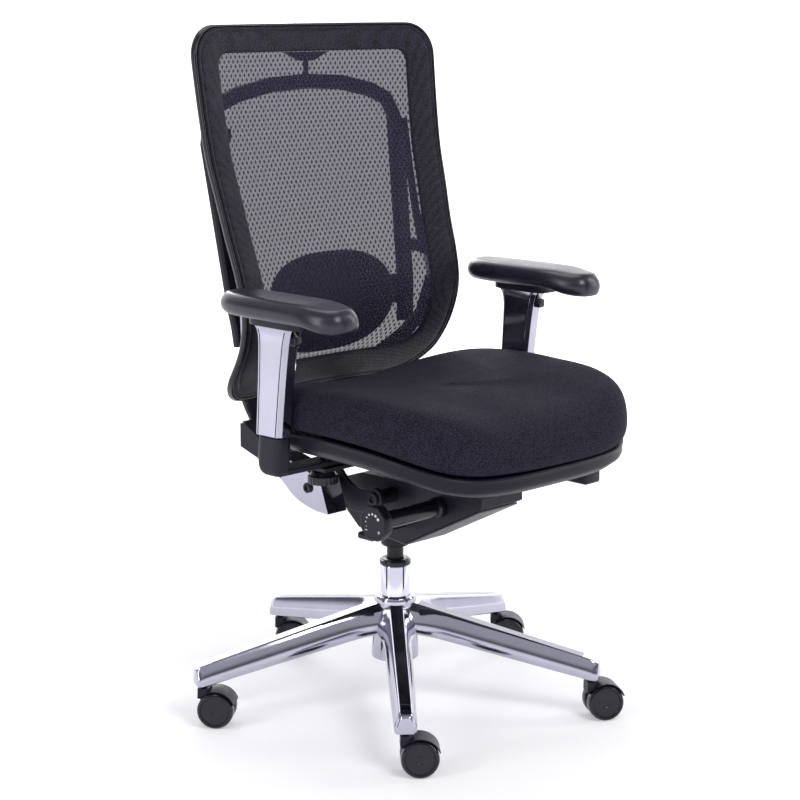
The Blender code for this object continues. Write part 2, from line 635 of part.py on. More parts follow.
def back_outline(inset, corner_top, corner_low, steps):
    """The frame's outline in X and Z at an inset from its outer edge, from the middle of the top."""
    low, high = BACK_LOW + inset * 1.15, BACK_HIGH - inset * 0.80
    right = []
    for x_share, z_mid, sign in ((1, high - corner_top, 1), (1, low + corner_low, -1)):
        radius = corner_top if sign > 0 else corner_low
        corner = []
        for k in range(steps + 1):
            angle = math.radians(90.0 * k / steps)
            z = z_mid + sign * radius * math.cos(angle)
            half = smooth_value(BACK_HALF_WIDTH, z) - inset
            corner.append((half - radius * (1.0 - math.sin(angle)), z))
        right += corner if sign > 0 else corner[::-1]
        if sign > 0:
            sides = [0.95, 0.85, 0.75, 0.68, 0.64]
            right += [(smooth_value(BACK_HALF_WIDTH, z) - inset, z) for z in sides]
    top_half = right[0][0]
    low_half = right[-1][0]
    middle_top = [(0.0, high), (top_half * 0.5, high)]
    middle_low = [(low_half * 0.5, low), (0.0, low)]
    right = middle_top + right + middle_low
    return right + [(-x, z) for x, z in right[-2:0:-1]]


def build_back(looks, recline, lumbar):
    steps = 4
    outer = back_outline(0.0, BACK_CORNER_TOP, BACK_CORNER_LOW, steps)
    inner = back_outline(FRAME_BORDER, 0.030, 0.040, steps)
    rings = []
    for (xo, zo), (xi, zi) in zip(outer, inner):
        out_point, in_point = Vector((xo, zo)), Vector((xi, zi))
        shrink = (in_point - out_point) * 0.10
        x1, z1 = out_point + shrink
        rings.append([back_surface(x1, z1), back_surface(xi, zi, 0.002), back_surface(xi, zi, 0.010),
                      back_surface(x1, z1, FRAME_DEPTH), back_surface(xo, zo, FRAME_DEPTH - 0.005),
                      back_surface(xo, zo, 0.004)])
    piece("back_frame", loft(rings, looped=True), looks["black"], recline)

    window = back_outline(FRAME_BORDER + 0.0006, 0.030, 0.040, steps)
    middle = (BACK_LOW + BACK_HIGH) / 2

    def mesh_layer(behind):
        return lambda a, b, part: back_surface(a, b + middle, behind)

    outline = [(x, z - middle) for x, z in window]
    panel = cushion_solid(outline, (0.8, 0.55, 0.3), (mesh_layer(0.004), mesh_layer(0.0065)))
    piece("back_mesh", panel, looks["mesh"], recline)

    build_arch(looks, recline)
    build_carrier(looks, recline)
    build_lumbar(looks, lumbar)


def sweep(path, half_width, half_depth):
    """A flat bar along a path: wide across the path, thin from front to back."""
    rings = []
    for k, point in enumerate(path):
        before, after = path[max(k - 1, 0)], path[min(k + 1, len(path) - 1)]
        along = (Vector(after) - Vector(before)).normalized()
        across = along.cross(Vector((0, 1, 0))).normalized()
        normal = across.cross(along).normalized()
        w = half_width[k] if isinstance(half_width, list) else half_width
        d = half_depth
        corners = ((-w, -d * 0.4), (-w * 0.8, -d), (w * 0.8, -d), (w, -d * 0.4), (w, d), (-w, d))
        rings.append([Vector(point) + across * a + normal * b for a, b in corners])
    return loft(rings)


ARCH_LEG = [(0.1870, 0.1632, 0.6140), (0.190, 0.1655, 0.645), (0.195, 0.170, 0.680), (0.200, 0.182, 0.760),
            (0.206, 0.198, 0.860), (0.211, 0.210, 0.940)]
ARCH_BOW = [(0.208, 0.214, 0.972), (0.190, 0.215, 1.000), (0.150, 0.214, 1.016), (0.080, 0.212, 1.030)]


def build_arch(looks, recline):
    """The arch behind the mesh, and the brackets that hold the frame to its legs."""
    half = ARCH_LEG + ARCH_BOW
    path = half + [(0.0, 0.211, 1.034)] + [(-x, y, z) for x, y, z in half[::-1]]
    widths = [0.0165 if z < 0.95 else 0.0125 for x, y, z in path]
    stem = block((-0.0040, 0.2100, 1.0300), (0.0040, 0.2150, 1.0740))
    wings = [(-0.050, 1.0825), (-0.016, 1.0680), (0.016, 1.0680), (0.050, 1.0825)]
    crest = plate(wings, 0.2095, 0.2155, plane="XZ")
    whole = combined(sweep(path, widths, 0.006), [stem, crest])
    piece("arch_support", whole, looks["black"], recline)
    for side, sign in (("left", 1.0), ("right", -1.0)):
        strip = [(0.195, 0.735), (0.198, 0.80), (0.2025, 0.88), (0.2065, 0.965)]
        spine = [back_surface(sign * x, z, 0.0195) for x, z in strip]
        rail = sweep(spine, 0.006, 0.004)
        tabs = []
        for z, front, rear in ((0.748, 0.128, 0.1720), (0.955, 0.184, 0.2040)):
            low, high = sorted((sign * 0.189, sign * 0.202))
            tabs.append(block((low, front, z - 0.010), (high, rear, z + 0.010)))
        piece(f"frame_bracket_{side}", combined(rail, tabs), looks["black"], recline)


def build_carrier(looks, recline):
    uprights = []
    for sign in (1.0, -1.0):
        route = [(0.096, 0.2140, 0.452), (0.116, 0.2205, 0.495), (0.134, 0.2190, 0.530),
                 (0.160, 0.1930, 0.557), (0.181, 0.1640, 0.588), (0.2000, 0.1345, 0.630),
                 (0.2140, 0.1215, 0.700), (0.2165, 0.1515, 0.800)]
        points = [(sign * x, y, z) for x, y, z in route]
        widths = [0.019, 0.018, 0.017, 0.0155, 0.014, 0.0125, 0.0115, 0.009]
        uprights.append(sweep(points, widths, 0.0055))
    cross = block((-0.149, 0.2055, 0.432), (0.149, 0.2195, 0.474), 0.004)
    low_edge = [(0.0035, 0.3510), (0.0300, 0.3515), (0.0520, 0.3555), (0.0745, 0.3620), (0.0930, 0.3715),
                (0.1080, 0.3840), (0.1400, 0.4060), (0.2190, 0.4300)]
    high_edge = [(0.2190, 0.470), (0.2055, 0.470), (0.160, 0.446), (0.110, 0.430), (0.060, 0.418),
                 (0.0220, 0.4030)]
    arms = []
    for sign in (1.0, -1.0):
        low, high = sorted((sign * CARRIER_INNER, sign * CARRIER_OUTER))
        arms.append(plate(low_edge + high_edge, low, high))
    carrier = combined(cross, arms + uprights, [pin_along_x(CARRIER_BOLT, 0.2, 0.0054)])
    piece("back_carrier", carrier, looks["polished"], recline)


def build_lumbar(looks, lumbar):
    outline = superellipse(0.1415, 0.086, 2.6, 24)
    middle = 0.667

    def lumbar_layer(bulge, rim):
        def layer(a, b, part):
            z = b + middle
            y = smooth_value(BACK_DEPTH, 0.68) + 0.052
            lean = 0.20 * (z - middle) if z > middle else 0.34 * (middle - z)
            return a, y + lean + bulge + rim * part**3, z
        return layer

    layers = (lumbar_layer(-0.012, 0.010), lumbar_layer(0.010, 0.0))
    pad = cushion_solid(outline, (0.85, 0.5), layers)
    piece("lumbar_pad", pad, looks["satin"], lumbar)
    bar = block((-0.168, 0.1544, 0.655), (0.168, 0.1628, 0.695), 0.002)
    ends = [block((low, 0.1440, 0.650), (low + 0.026, 0.1628, 0.700), 0.003) for low in (-0.170, 0.144)]
    runners = [block((low, 0.1440, 0.655), (low + 0.026, 0.1565, 0.695), 0.002) for low in (-0.186, 0.160)]
    piece("lumbar_carriage", combined(bar, ends + runners), looks["black"], lumbar)


# ---------------------------------------------------------------- assembly


def main():
    clear_scene()
    bpy.context.scene.collection.children.link(PARTS)
    looks = {
        "polished": material("polished_aluminium", (0.78, 0.78, 0.82), 0.12, 1.0),
        "chrome": material("chromed_steel", (0.82, 0.82, 0.85), 0.06, 1.0),
        "steel": material("bright_steel", (0.55, 0.55, 0.57), 0.3, 1.0),
        "dark_steel": material("black_steel", (0.02, 0.02, 0.022), 0.35, 0.6),
        "black": material("black_nylon", (0.018, 0.018, 0.021), 0.5),
        "grey": material("grey_nylon", (0.10, 0.10, 0.11), 0.55),
        "satin": material("satin_black_plastic", (0.035, 0.034, 0.042), 0.42),
        "gloss": material("arm_pad_polyurethane", (0.012, 0.012, 0.016), 0.22),
        "fabric": material("seat_fabric", (0.022, 0.021, 0.029), 0.9),
        "mesh": material("back_mesh_fabric", (0.10, 0.10, 0.12), 0.8),
    }
    root = empty("chair", (0, 0, 0))
    root.location.x = COLUMN_X
    lift = empty("lift_axis", (0, 0, CAP_TOP), root)
    mechanism = empty("seat_swivel_axis", (0, 0, PISTON_TOP), lift)
    build_base(looks, root)
    build_gas_lift(looks, root, lift)
    build_casters(looks, root)
    recline = empty("recline_axis", RECLINE_AXIS, mechanism)
    build_mechanism(looks, mechanism, recline)
    knob_axis = empty("tension_axis", (-0.190, *TENSION_AXIS.yz), mechanism)
    lever_axis = empty("height_lever_axis", (HOUSING_HALF + RUN_GAP, -0.150, 0.376), mechanism)
    lock_axis = empty("tilt_lock_axis", (-HOUSING_HALF - RUN_GAP, -0.070, 0.330), mechanism)
    build_controls(looks, mechanism, knob_axis, lever_axis, lock_axis)
    tilt = empty("seat_tilt_axis", SEAT_TILT_AXIS, mechanism)
    slide = empty("seat_slide_axis", (0, 0, 0.447), tilt)
    build_seat(looks, tilt, slide)
    for side, sign in (("left", 1.0), ("right", -1.0)):
        width_axis = empty(f"arm_width_axis_{side}", (sign * 0.2, 0.0, 0.4225), tilt)
        height_axis = empty(f"arm_height_axis_{side}", (sign * ARM_X, -0.02, 0.53), width_axis)
        clamp_axis = empty(f"arm_clamp_axis_{side}", (sign * CLAMP_X, TONGUE_Y, 0.420), tilt)
        build_arm(looks, side, sign, width_axis, height_axis, clamp_axis)
    lumbar = empty("lumbar_axis", (0, 0.165, 0.675), recline)
    build_back(looks, recline, lumbar)


main()
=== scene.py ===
"""Looks of the swivel office chair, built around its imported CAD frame.

Metres. Points are given in the chair's own coordinates, whose Z axis is the gas column's axis: the
chair faces -Y and the sitter's left is +X. OFFSET moves them into the frame's coordinates.
"""

import json
from math import copysign, cos, exp, pi, radians, sin, tan

import bmesh
import bpy
import numpy as np
from mathutils import Matrix, Vector


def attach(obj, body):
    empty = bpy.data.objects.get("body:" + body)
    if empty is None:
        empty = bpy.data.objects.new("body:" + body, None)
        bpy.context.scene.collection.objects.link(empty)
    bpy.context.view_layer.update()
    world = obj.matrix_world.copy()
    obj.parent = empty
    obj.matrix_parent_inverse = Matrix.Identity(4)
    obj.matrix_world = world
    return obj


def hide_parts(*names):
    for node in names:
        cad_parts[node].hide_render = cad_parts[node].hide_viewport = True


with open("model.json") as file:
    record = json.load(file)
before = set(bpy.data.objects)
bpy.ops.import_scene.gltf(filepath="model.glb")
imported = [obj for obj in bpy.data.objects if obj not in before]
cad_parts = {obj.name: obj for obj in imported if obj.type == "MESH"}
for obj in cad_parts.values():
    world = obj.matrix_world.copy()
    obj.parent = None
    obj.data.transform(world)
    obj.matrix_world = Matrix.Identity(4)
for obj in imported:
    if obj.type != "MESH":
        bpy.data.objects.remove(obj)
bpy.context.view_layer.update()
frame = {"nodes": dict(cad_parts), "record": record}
OFFSET = Vector((-0.026, 0.0, 0.0))
SIDES = (("left", 1.0), ("right", -1.0))


# ---- materials


NOISE_RANGE = (0.3, 0.7)  # nearly all of a noise texture's values lie in here
CELL_RANGE = (0.15, 0.65)  # a woven cell's distance at its middle and at its edge


def node_of(tree, kind, **values):
    """A shader node with its settings, or its inputs' values, by name."""
    node = tree.nodes.new(kind)
    for key, value in values.items():
        if hasattr(node, key):
            setattr(node, key, value)
        else:
            node.inputs[key.replace("_", " ")].default_value = value
    return node


def mapped(tree, scale, turn=0.0):
    """Object coordinates in metres, scaled along each axis."""
    place = tree.nodes.new("ShaderNodeTexCoord")
    mapping = node_of(tree, "ShaderNodeMapping", Scale=scale, Rotation=(0.0, turn, 0.0))
    tree.links.new(place.outputs["Object"], mapping.inputs["Vector"])
    return mapping.outputs["Vector"]


def ramp_of(tree, value, low, high):
    """A colour ramp between two colours over the middle of a noise's range."""
    ramp = tree.nodes.new("ShaderNodeValToRGB")
    for element, place, colour in zip(ramp.color_ramp.elements, NOISE_RANGE, (low, high)):
        element.position = place
        element.color = (*colour, 1.0)
    tree.links.new(value, ramp.inputs["Fac"])
    return ramp.outputs["Color"]


def remapped(tree, value, source, target):
    """A value mapped from one (low, high) range to another."""
    node = node_of(tree, "ShaderNodeMapRange", From_Min=source[0], From_Max=source[1], To_Min=target[0],
                   To_Max=target[1])
    tree.links.new(value, node.inputs["Value"])
    return node.outputs["Result"]


def surface(name, colour, rough, metallic, vary, vary_scale, grain=None, weave=None, uniform=None):
    """A Principled material whose colour and roughness vary slowly, with a fine bump.

    vary is the share by which the colour varies and vary_scale how many times a metre. grain is a
    (scale, depth) pair. weave is (scale, turn, depth, shade of the gaps, unevenness).
    """
    material = bpy.data.materials.new(name)
    material.use_nodes = True
    tree = material.node_tree
    shader = tree.nodes["Principled BSDF"]
    shader.inputs["Metallic"].default_value = metallic
    for key, value in (uniform or {}).items():
        shader.inputs[key].default_value = value

    cloud = node_of(tree, "ShaderNodeTexNoise", Scale=1.0, Detail=3.0, Roughness=0.55)
    tree.links.new(mapped(tree, (vary_scale,) * 3), cloud.inputs["Vector"])
    darker = tuple(c * (1.0 - vary) for c in colour)
    lighter = tuple(min(1.0, c * (1.0 + vary)) for c in colour)
    tint = ramp_of(tree, cloud.outputs["Fac"], darker, lighter)
    tree.links.new(remapped(tree, cloud.outputs["Fac"], NOISE_RANGE, rough), shader.inputs["Roughness"])

    height = None
    if weave:
        scale, turn, depth, dark, uneven = weave
        cells = node_of(tree, "ShaderNodeTexVoronoi", Scale=1.0, Randomness=uneven)
        tree.links.new(mapped(tree, scale, turn), cells.inputs["Vector"])
        height = cells.outputs["Distance"]
        shade = remapped(tree, height, CELL_RANGE, (1.0, dark))
        mix = node_of(tree, "ShaderNodeMix", data_type="RGBA", blend_type="MULTIPLY", Factor=1.0)
        tree.links.new(tint, mix.inputs["A"])
        tree.links.new(shade, mix.inputs["B"])
        tint = mix.outputs["Result"]
    elif grain:
        scale, depth = grain
        speck = node_of(tree, "ShaderNodeTexNoise", Scale=1.0, Detail=4.0, Roughness=0.6)
        tree.links.new(mapped(tree, (scale,) * 3), speck.inputs["Vector"])
        height = speck.outputs["Fac"]
    if height is not None:
        bump = node_of(tree, "ShaderNodeBump", invert=bool(weave), Strength=0.6, Distance=depth)
        tree.links.new(height, bump.inputs["Height"])
        tree.links.new(bump.outputs["Normal"], shader.inputs["Normal"])
    tree.links.new(tint, shader.inputs["Base Color"])
    return material


def specular(level, **more):
    """Uniform shader values: a specular level, and any others by name."""
    return {"Specular IOR Level": level, **{key.replace("_", " "): value for key, value in more.items()}}


LOOKS = {
    "polished_aluminium": surface("polished_aluminium_look", (0.5, 0.495, 0.59), (0.07, 0.12), 1.0,
                                  0.04, 18.0),
    "chromed_steel": surface("chrome_look", (0.7, 0.7, 0.8), (0.04, 0.07), 1.0, 0.03, 30.0),
    "bright_steel": surface("steel_look", (0.36, 0.36, 0.38), (0.22, 0.34), 1.0, 0.1, 200.0),
    "black_steel": surface("powder_coat_look", (0.011, 0.0105, 0.0165), (0.32, 0.44), 0.0, 0.2, 60.0,
                           grain=(1500.0, 0.00005), uniform=specular(0.35)),
    "black_nylon": surface("black_nylon_look", (0.01, 0.009, 0.018), (0.34, 0.46), 0.0, 0.25, 45.0,
                           grain=(2200.0, 0.00003), uniform=specular(0.3)),
    "grey_nylon": surface("grey_nylon_look", (0.06, 0.06, 0.07), (0.38, 0.5), 0.0, 0.15, 45.0,
                          grain=(2200.0, 0.00003), uniform=specular(0.3)),
    "satin_black_plastic": surface("satin_plastic_look", (0.0105, 0.0095, 0.0175), (0.36, 0.46), 0.0,
                                   0.12, 25.0, grain=(2600.0, 0.00002), uniform=specular(0.22)),
    "arm_pad_polyurethane": surface("arm_pad_look", (0.013, 0.0115, 0.024), (0.27, 0.34), 0.0, 0.15, 22.0,
                                    uniform=specular(0.6)),
    "seat_fabric": surface("seat_fabric_look", (0.04, 0.036, 0.06), (0.66, 0.8), 0.0, 0.1, 30.0,
                           weave=((500.0, 500.0, 500.0), 0.0, 0.0005, 0.3, 1.0),
                           uniform=specular(0.05, Sheen_Weight=0.02, Sheen_Roughness=0.4)),
    "back_mesh_fabric": surface("mesh_strand_look", (0.04, 0.036, 0.064), (0.6, 0.72), 0.0, 0.1, 60.0,
                                uniform=specular(0.06, Alpha=0.655)),
}
BORDER = surface("border_fabric_look", (0.023, 0.0195, 0.043), (0.5, 0.65), 0.0, 0.1, 30.0,
                 weave=((210.0, 210.0, 300.0), 0.5, 0.0012, 0.06, 0.4),
                 uniform=specular(0.25, Sheen_Weight=0.12, Sheen_Roughness=0.35))
RIM = surface("glossy_rim_look", (0.008, 0.0073, 0.0145), (0.18, 0.26), 0.0, 0.2, 30.0,
              uniform=specular(0.45))
KNOTS = surface("mesh_knot_look", (0.02, 0.018, 0.032), (0.6, 0.72), 0.0, 0.1, 60.0,
                uniform=specular(0.06, Alpha=0.86))
# Darker copy of the polished metal for the base arms' top strips: painted reflection along the flat tops.
RIDGE_PAINTED_REFLECTION = surface("ridge_look", (0.215, 0.21, 0.25), (0.16, 0.24), 1.0, 0.08, 30.0)
MARKS = surface("white_marks_look", (0.78, 0.78, 0.8), (0.4, 0.5), 0.0, 0.05, 90.0)
SLOTS = {row["node"]: row["material_slot"] for row in frame["record"]["subparts"]}
for cad_node in frame["nodes"].values():
    cad_node.data.materials.clear()
    cad_node.data.materials.append(LOOKS[SLOTS[cad_node.name]])


# ---- mesh helpers


SAME_POINT = 0.00001  # points closer than this are one
FLAT_ANGLE = radians(2.0)  # faces that meet at less than this are one


def in_scene(name, data):
    """A new object, linked to the scene."""
    obj = bpy.data.objects.new(name, data)
    bpy.context.scene.collection.objects.link(obj)
    return obj


def add_piece(name, mesh, body, slot, look=None, replaces=(), subdiv=0, bevel=0.0, segments=2,
              smooth=35.0):
    """A visible piece, whose mesh is already in the frame's coordinates, riding on a body."""
    obj = in_scene(name, mesh)
    mesh.materials.clear()
    mesh.materials.append(look or LOOKS[slot])
    if bevel:
        edge = obj.modifiers.new("edges", "BEVEL")
        edge.width = bevel
        edge.segments = segments
        edge.limit_method = "ANGLE"
        edge.angle_limit = radians(28.0)
    if subdiv:
        fine = obj.modifiers.new("fine", "SUBSURF")
        fine.levels = fine.render_levels = subdiv
    mesh.shade_smooth()
    mesh.set_sharp_from_angle(angle=radians(smooth))
    if replaces:
        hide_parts(*replaces)
    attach(obj, body)
    return obj


def shown(node, mesh, body, look=None, **how):
    """A visible piece that stands for the CAD solid of the same name, in that solid's slot."""
    return add_piece(f"{node}_shown", mesh, body, SLOTS[node], look, (node,), **how)


def mesh_from(points, faces, offset=OFFSET):
    """A mesh from points in chair coordinates and faces, with its normals outward."""
    mesh = bpy.data.meshes.new("shape")
    mesh.from_pydata([Vector(p) + offset for p in points], [], faces)
    bm = bmesh.new()
    bm.from_mesh(mesh)
    bmesh.ops.recalc_face_normals(bm, faces=bm.faces)
    bm.to_mesh(mesh)
    bm.free()
    return mesh


def loft(rings, looped=False, offset=OFFSET):
    """Quads through rings of points, with a face across each end unless looped."""
    count = len(rings[0])
    points = [p for ring in rings for p in ring]
    faces = []
    spans = len(rings) if looped else len(rings) - 1
    for r in range(spans):
        a, b = r * count, ((r + 1) % len(rings)) * count
        for i in range(count):
            j = (i + 1) % count
            faces.append((a + i, a + j, b + j, b + i))
    if not looped:
        for start in (0, (len(rings) - 1) * count):
            faces.append(tuple(range(start, start + count)))
    return mesh_from(points, faces, offset)


def joined(*meshes):
    """One mesh of several."""
    bm = bmesh.new()
    for mesh in meshes:
        bm.from_mesh(mesh)
    whole = bpy.data.meshes.new("shape")
    bm.to_mesh(whole)
    bm.free()
    return whole


def lathe(profile, segments=64, matrix=Matrix.Identity(4), wave=None):
    """A closed turned shape about local Z from (radius, height) rows, placed by a matrix."""
    points = []
    faces = []
    rows = []
    for number, (radius, height) in enumerate(profile):
        if radius == 0.0:
            rows.append([len(points)])
            points.append(matrix @ Vector((0.0, 0.0, height)))
            continue
        row = []
        for k in range(segments):
            angle = 2.0 * pi * k / segments
            r = radius + (wave(number, angle) if wave else 0.0)
            row.append(len(points))
            points.append(matrix @ Vector((r * cos(angle), r * sin(angle), height)))
        rows.append(row)
    pairs = list(zip(rows, rows[1:]))
    if len(rows[0]) > 1 and len(rows[-1]) > 1:
        pairs.append((rows[-1], rows[0]))
    for near, far in pairs:
        for k in range(segments):
            m = (k + 1) % segments
            if len(near) == 1:
                faces.append((near[0], far[k], far[m]))
            elif len(far) == 1:
                faces.append((near[k], far[0], near[m]))
            else:
                faces.append((near[k], far[k], far[m], near[m]))
    return mesh_from(points, faces)


def box(a0, a1, b0, b1):
    """A rectangle's corners."""
    return [(a0, b0), (a1, b0), (a1, b1), (a0, b1)]


def rod(radius, high, low=0.0):
    """The profile of a plain round rod."""
    return box(0.0, radius, low, high)


def plate(outline, low, high):
    """An outline in the YZ plane given thickness between two X values."""
    return loft([[(x, a, b) for a, b in outline] for x in (low, high)])


def arc(centre, radius, start, end, steps):
    """Points along an arc between two angles in degrees."""
    angles = [radians(start + (end - start) * k / steps) for k in range(steps + 1)]
    return [(centre[0] + radius * cos(a), centre[1] + radius * sin(a)) for a in angles]


def superellipse(half_a, half_b, power, count):
    """A closed outline between an ellipse, at a power of 2, and a rectangle."""
    points = []
    for k in range(count):
        angle = 2.0 * pi * (k + 0.5) / count
        c, s = cos(angle), sin(angle)
        points.append((copysign(abs(c) ** (2.0 / power), c) * half_a,
                       copysign(abs(s) ** (2.0 / power), s) * half_b))
    return points


def smooth_value(table, at):
    """Catmull-Rom interpolation through (position, value) rows, flat past both ends."""
    if at <= table[0][0]:
        return table[0][1]
    if at >= table[-1][0]:
        return table[-1][1]
    k = max(i for i in range(len(table) - 1) if table[i][0] <= at)
    (x0, v0), (x1, v1) = table[k], table[k + 1]
    before = table[k - 1] if k else (2 * x0 - x1, 2 * v0 - v1)
    after = table[k + 2] if k + 2 < len(table) else (2 * x1 - x0, 2 * v1 - v0)
    slope0 = (v1 - before[1]) / (x1 - before[0]) * (x1 - x0)
    slope1 = (after[1] - v0) / (after[0] - x0) * (x1 - x0)
    t = (at - x0) / (x1 - x0)
    return ((2 * t**3 - 3 * t**2 + 1) * v0 + (t**3 - 2 * t**2 + t) * slope0
            + (-2 * t**3 + 3 * t**2) * v1 + (t**3 - t**2) * slope1)


def evened(outline, count):
    """A closed outline resampled to evenly spaced points."""
    points = [Vector(p) for p in outline]
    lengths = [0.0]
    for a, b in zip(points, points[1:] + points[:1]):
        lengths.append(lengths[-1] + (b - a).length)
    out = []
    k = 0
    for n in range(count):
        at = lengths[-1] * n / count
        while lengths[k + 1] < at:
            k += 1
        share = (at - lengths[k]) / (lengths[k + 1] - lengths[k])
        out.append(points[k].lerp(points[(k + 1) % len(points)], share))
    return out


def cleaned(node, planes=()):
    """A copy of a CAD solid's mesh, cut by (place, normal, keep_low) planes, with its flat faces whole."""
    mesh = frame["nodes"][node].data.copy()
    bm = bmesh.new()
    bm.from_mesh(mesh)
    bmesh.ops.remove_doubles(bm, verts=bm.verts, dist=SAME_POINT)
    for place, normal, keep_low in planes:
        everything = bm.verts[:] + bm.edges[:] + bm.faces[:]
        cut = bmesh.ops.bisect_plane(bm, geom=everything, plane_co=place, plane_no=normal,
                                     clear_outer=keep_low, clear_inner=not keep_low)
        rim = [item for item in cut["geom_cut"] if isinstance(item, bmesh.types.BMEdge)]
        bmesh.ops.holes_fill(bm, edges=rim, sides=0)
    bmesh.ops.dissolve_limit(bm, angle_limit=FLAT_ANGLE, verts=bm.verts, edges=bm.edges)
    bm.to_mesh(mesh)
    bm.free()
    return mesh


def cad_copy(node, body, bevel):
    """A copy of a CAD solid with its edges rounded, which stands for it."""
    shown(node, cleaned(node), body, bevel=bevel, segments=3)


# ---- back


BACK_DEPTH = [(0.505, 0.186), (0.55, 0.146), (0.589, 0.116), (0.625, 0.097), (0.68, 0.0855), (0.742, 0.097),
              (0.79, 0.113), (0.857, 0.131), (0.92, 0.149), (1.005, 0.163), (1.086, 0.173), (1.13, 0.177)]
BACK_HALF_WIDTH = [(0.505, 0.219), (0.56, 0.235), (0.625, 0.241), (0.693, 0.248), (0.79, 0.254),
                   (0.92, 0.263), (1.086, 0.27), (1.13, 0.271)]
BACK_LOW, BACK_HIGH = 0.512, 1.13
BACK_CONCAVITY = 0.028
FRAME_BORDER = 0.058
KNOT = 0.5  # width of a knot in the net, as a share of its pitch
NET_WIDE, NET_TALL = 0.0104, 0.0146  # the pitch of the knots in X and in Z
NET_SLANT = 0.1  # how far a column of knots leans in X for each metre of Z
NET_MIDDLE = 0.8
NET_HIDDEN = 0.005  # the net's edge, under the border
NET_BEHIND, NET_RELIEF, NET_THICKNESS = 0.0045, 0.00035, 0.0007


def back_surface(x, z, behind=0.0):
    """A point of the back's doubly curved face, or behind it."""
    across = x / smooth_value(BACK_HALF_WIDTH, z)
    return Vector((x, smooth_value(BACK_DEPTH, z) + BACK_CONCAVITY * (1.0 - across**2) + behind, z))


def back_outline(inset, corner_top, corner_low, steps=10):
    """The frame's outline in X and Z at an inset from its outer edge."""
    low, high = BACK_LOW + inset * 1.15, BACK_HIGH - inset * 0.8
    right = []
    for middle_z, sign, radius in ((high - corner_top, 1, corner_top), (low + corner_low, -1, corner_low)):
        corner = []
        for k in range(steps + 1):
            angle = radians(90.0 * k / steps)
            z = middle_z + sign * radius * cos(angle)
            half = smooth_value(BACK_HALF_WIDTH, z) - inset
            corner.append((half - radius * (1.0 - sin(angle)), z))
        right += corner if sign > 0 else corner[::-1]
        if sign > 0:
            top, bottom = high - corner_top, low + corner_low
            for k in range(1, 22):
                z = top + (bottom - top) * k / 22
                right.append((smooth_value(BACK_HALF_WIDTH, z) - inset, z))
    top_half, low_half = right[0][0], right[-1][0]
    top_edge = [(top_half * k / 8, high) for k in range(8)]
    low_edge = [(low_half * (1.0 - k / 5), low) for k in range(1, 6)]
    right = top_edge + right + low_edge
    return right + [(-x, z) for x, z in right[-2:0:-1]]


def build_back():
    """The frame: a glossy rim behind, and the padded border of the mesh in front."""
    outer = back_outline(0.0, 0.055, 0.06)
    inner = back_outline(FRAME_BORDER, 0.022, 0.04)

    def ring_points(share, behind):
        """Points at a share of the way from the outer outline to the inner one."""
        points = []
        for (xo, zo), (xi, zi) in zip(outer, inner):
            x, z = xo + (xi - xo) * share, zo + (zi - zo) * share
            points.append(back_surface(x, z, behind))
        return points

    rim_section = [(0.105, 0.003), (0.085, 0.0012), (0.05, 0.0006), (0.018, 0.0022), (0.000, 0.006),
                   (0.000, 0.0085), (0.012, 0.0122), (0.04, 0.0138), (0.105, 0.014), (0.3, 0.0136),
                   (0.3, 0.01), (0.11, 0.008)]
    add_piece("back_rim", loft([ring_points(*row) for row in rim_section], looped=True),
              "back", "black_nylon", RIM, subdiv=1, smooth=180)

    crown = [(0.112, 0.004), (0.12, 0.0012), (0.15, -0.0006), (0.21, -0.0002), (0.235, 0.0014),
             (0.262, 0.0000), (0.33, -0.0012), (0.55, -0.0012), (0.8, -0.0002), (0.95, 0.0012),
             (0.998, 0.0035), (0.998, 0.0072), (0.94, 0.0098), (0.55, 0.0104), (0.27, 0.01),
             (0.112, 0.008)]
    add_piece("back_border", loft([ring_points(*row) for row in crown], looped=True),
              "back", "back_mesh_fabric", BORDER, ("back_frame",), subdiv=1, smooth=180)


def inside(point, outline):
    """Whether a point lies in a closed outline, by counting crossings."""
    x, z = point
    hit = False
    for (x0, z0), (x1, z1) in zip(outline, outline[1:] + outline[:1]):
        if (z0 > z) != (z1 > z) and x < (x1 - x0) * (z - z0) / (z1 - z0) + x0:
            hit = not hit
    return hit


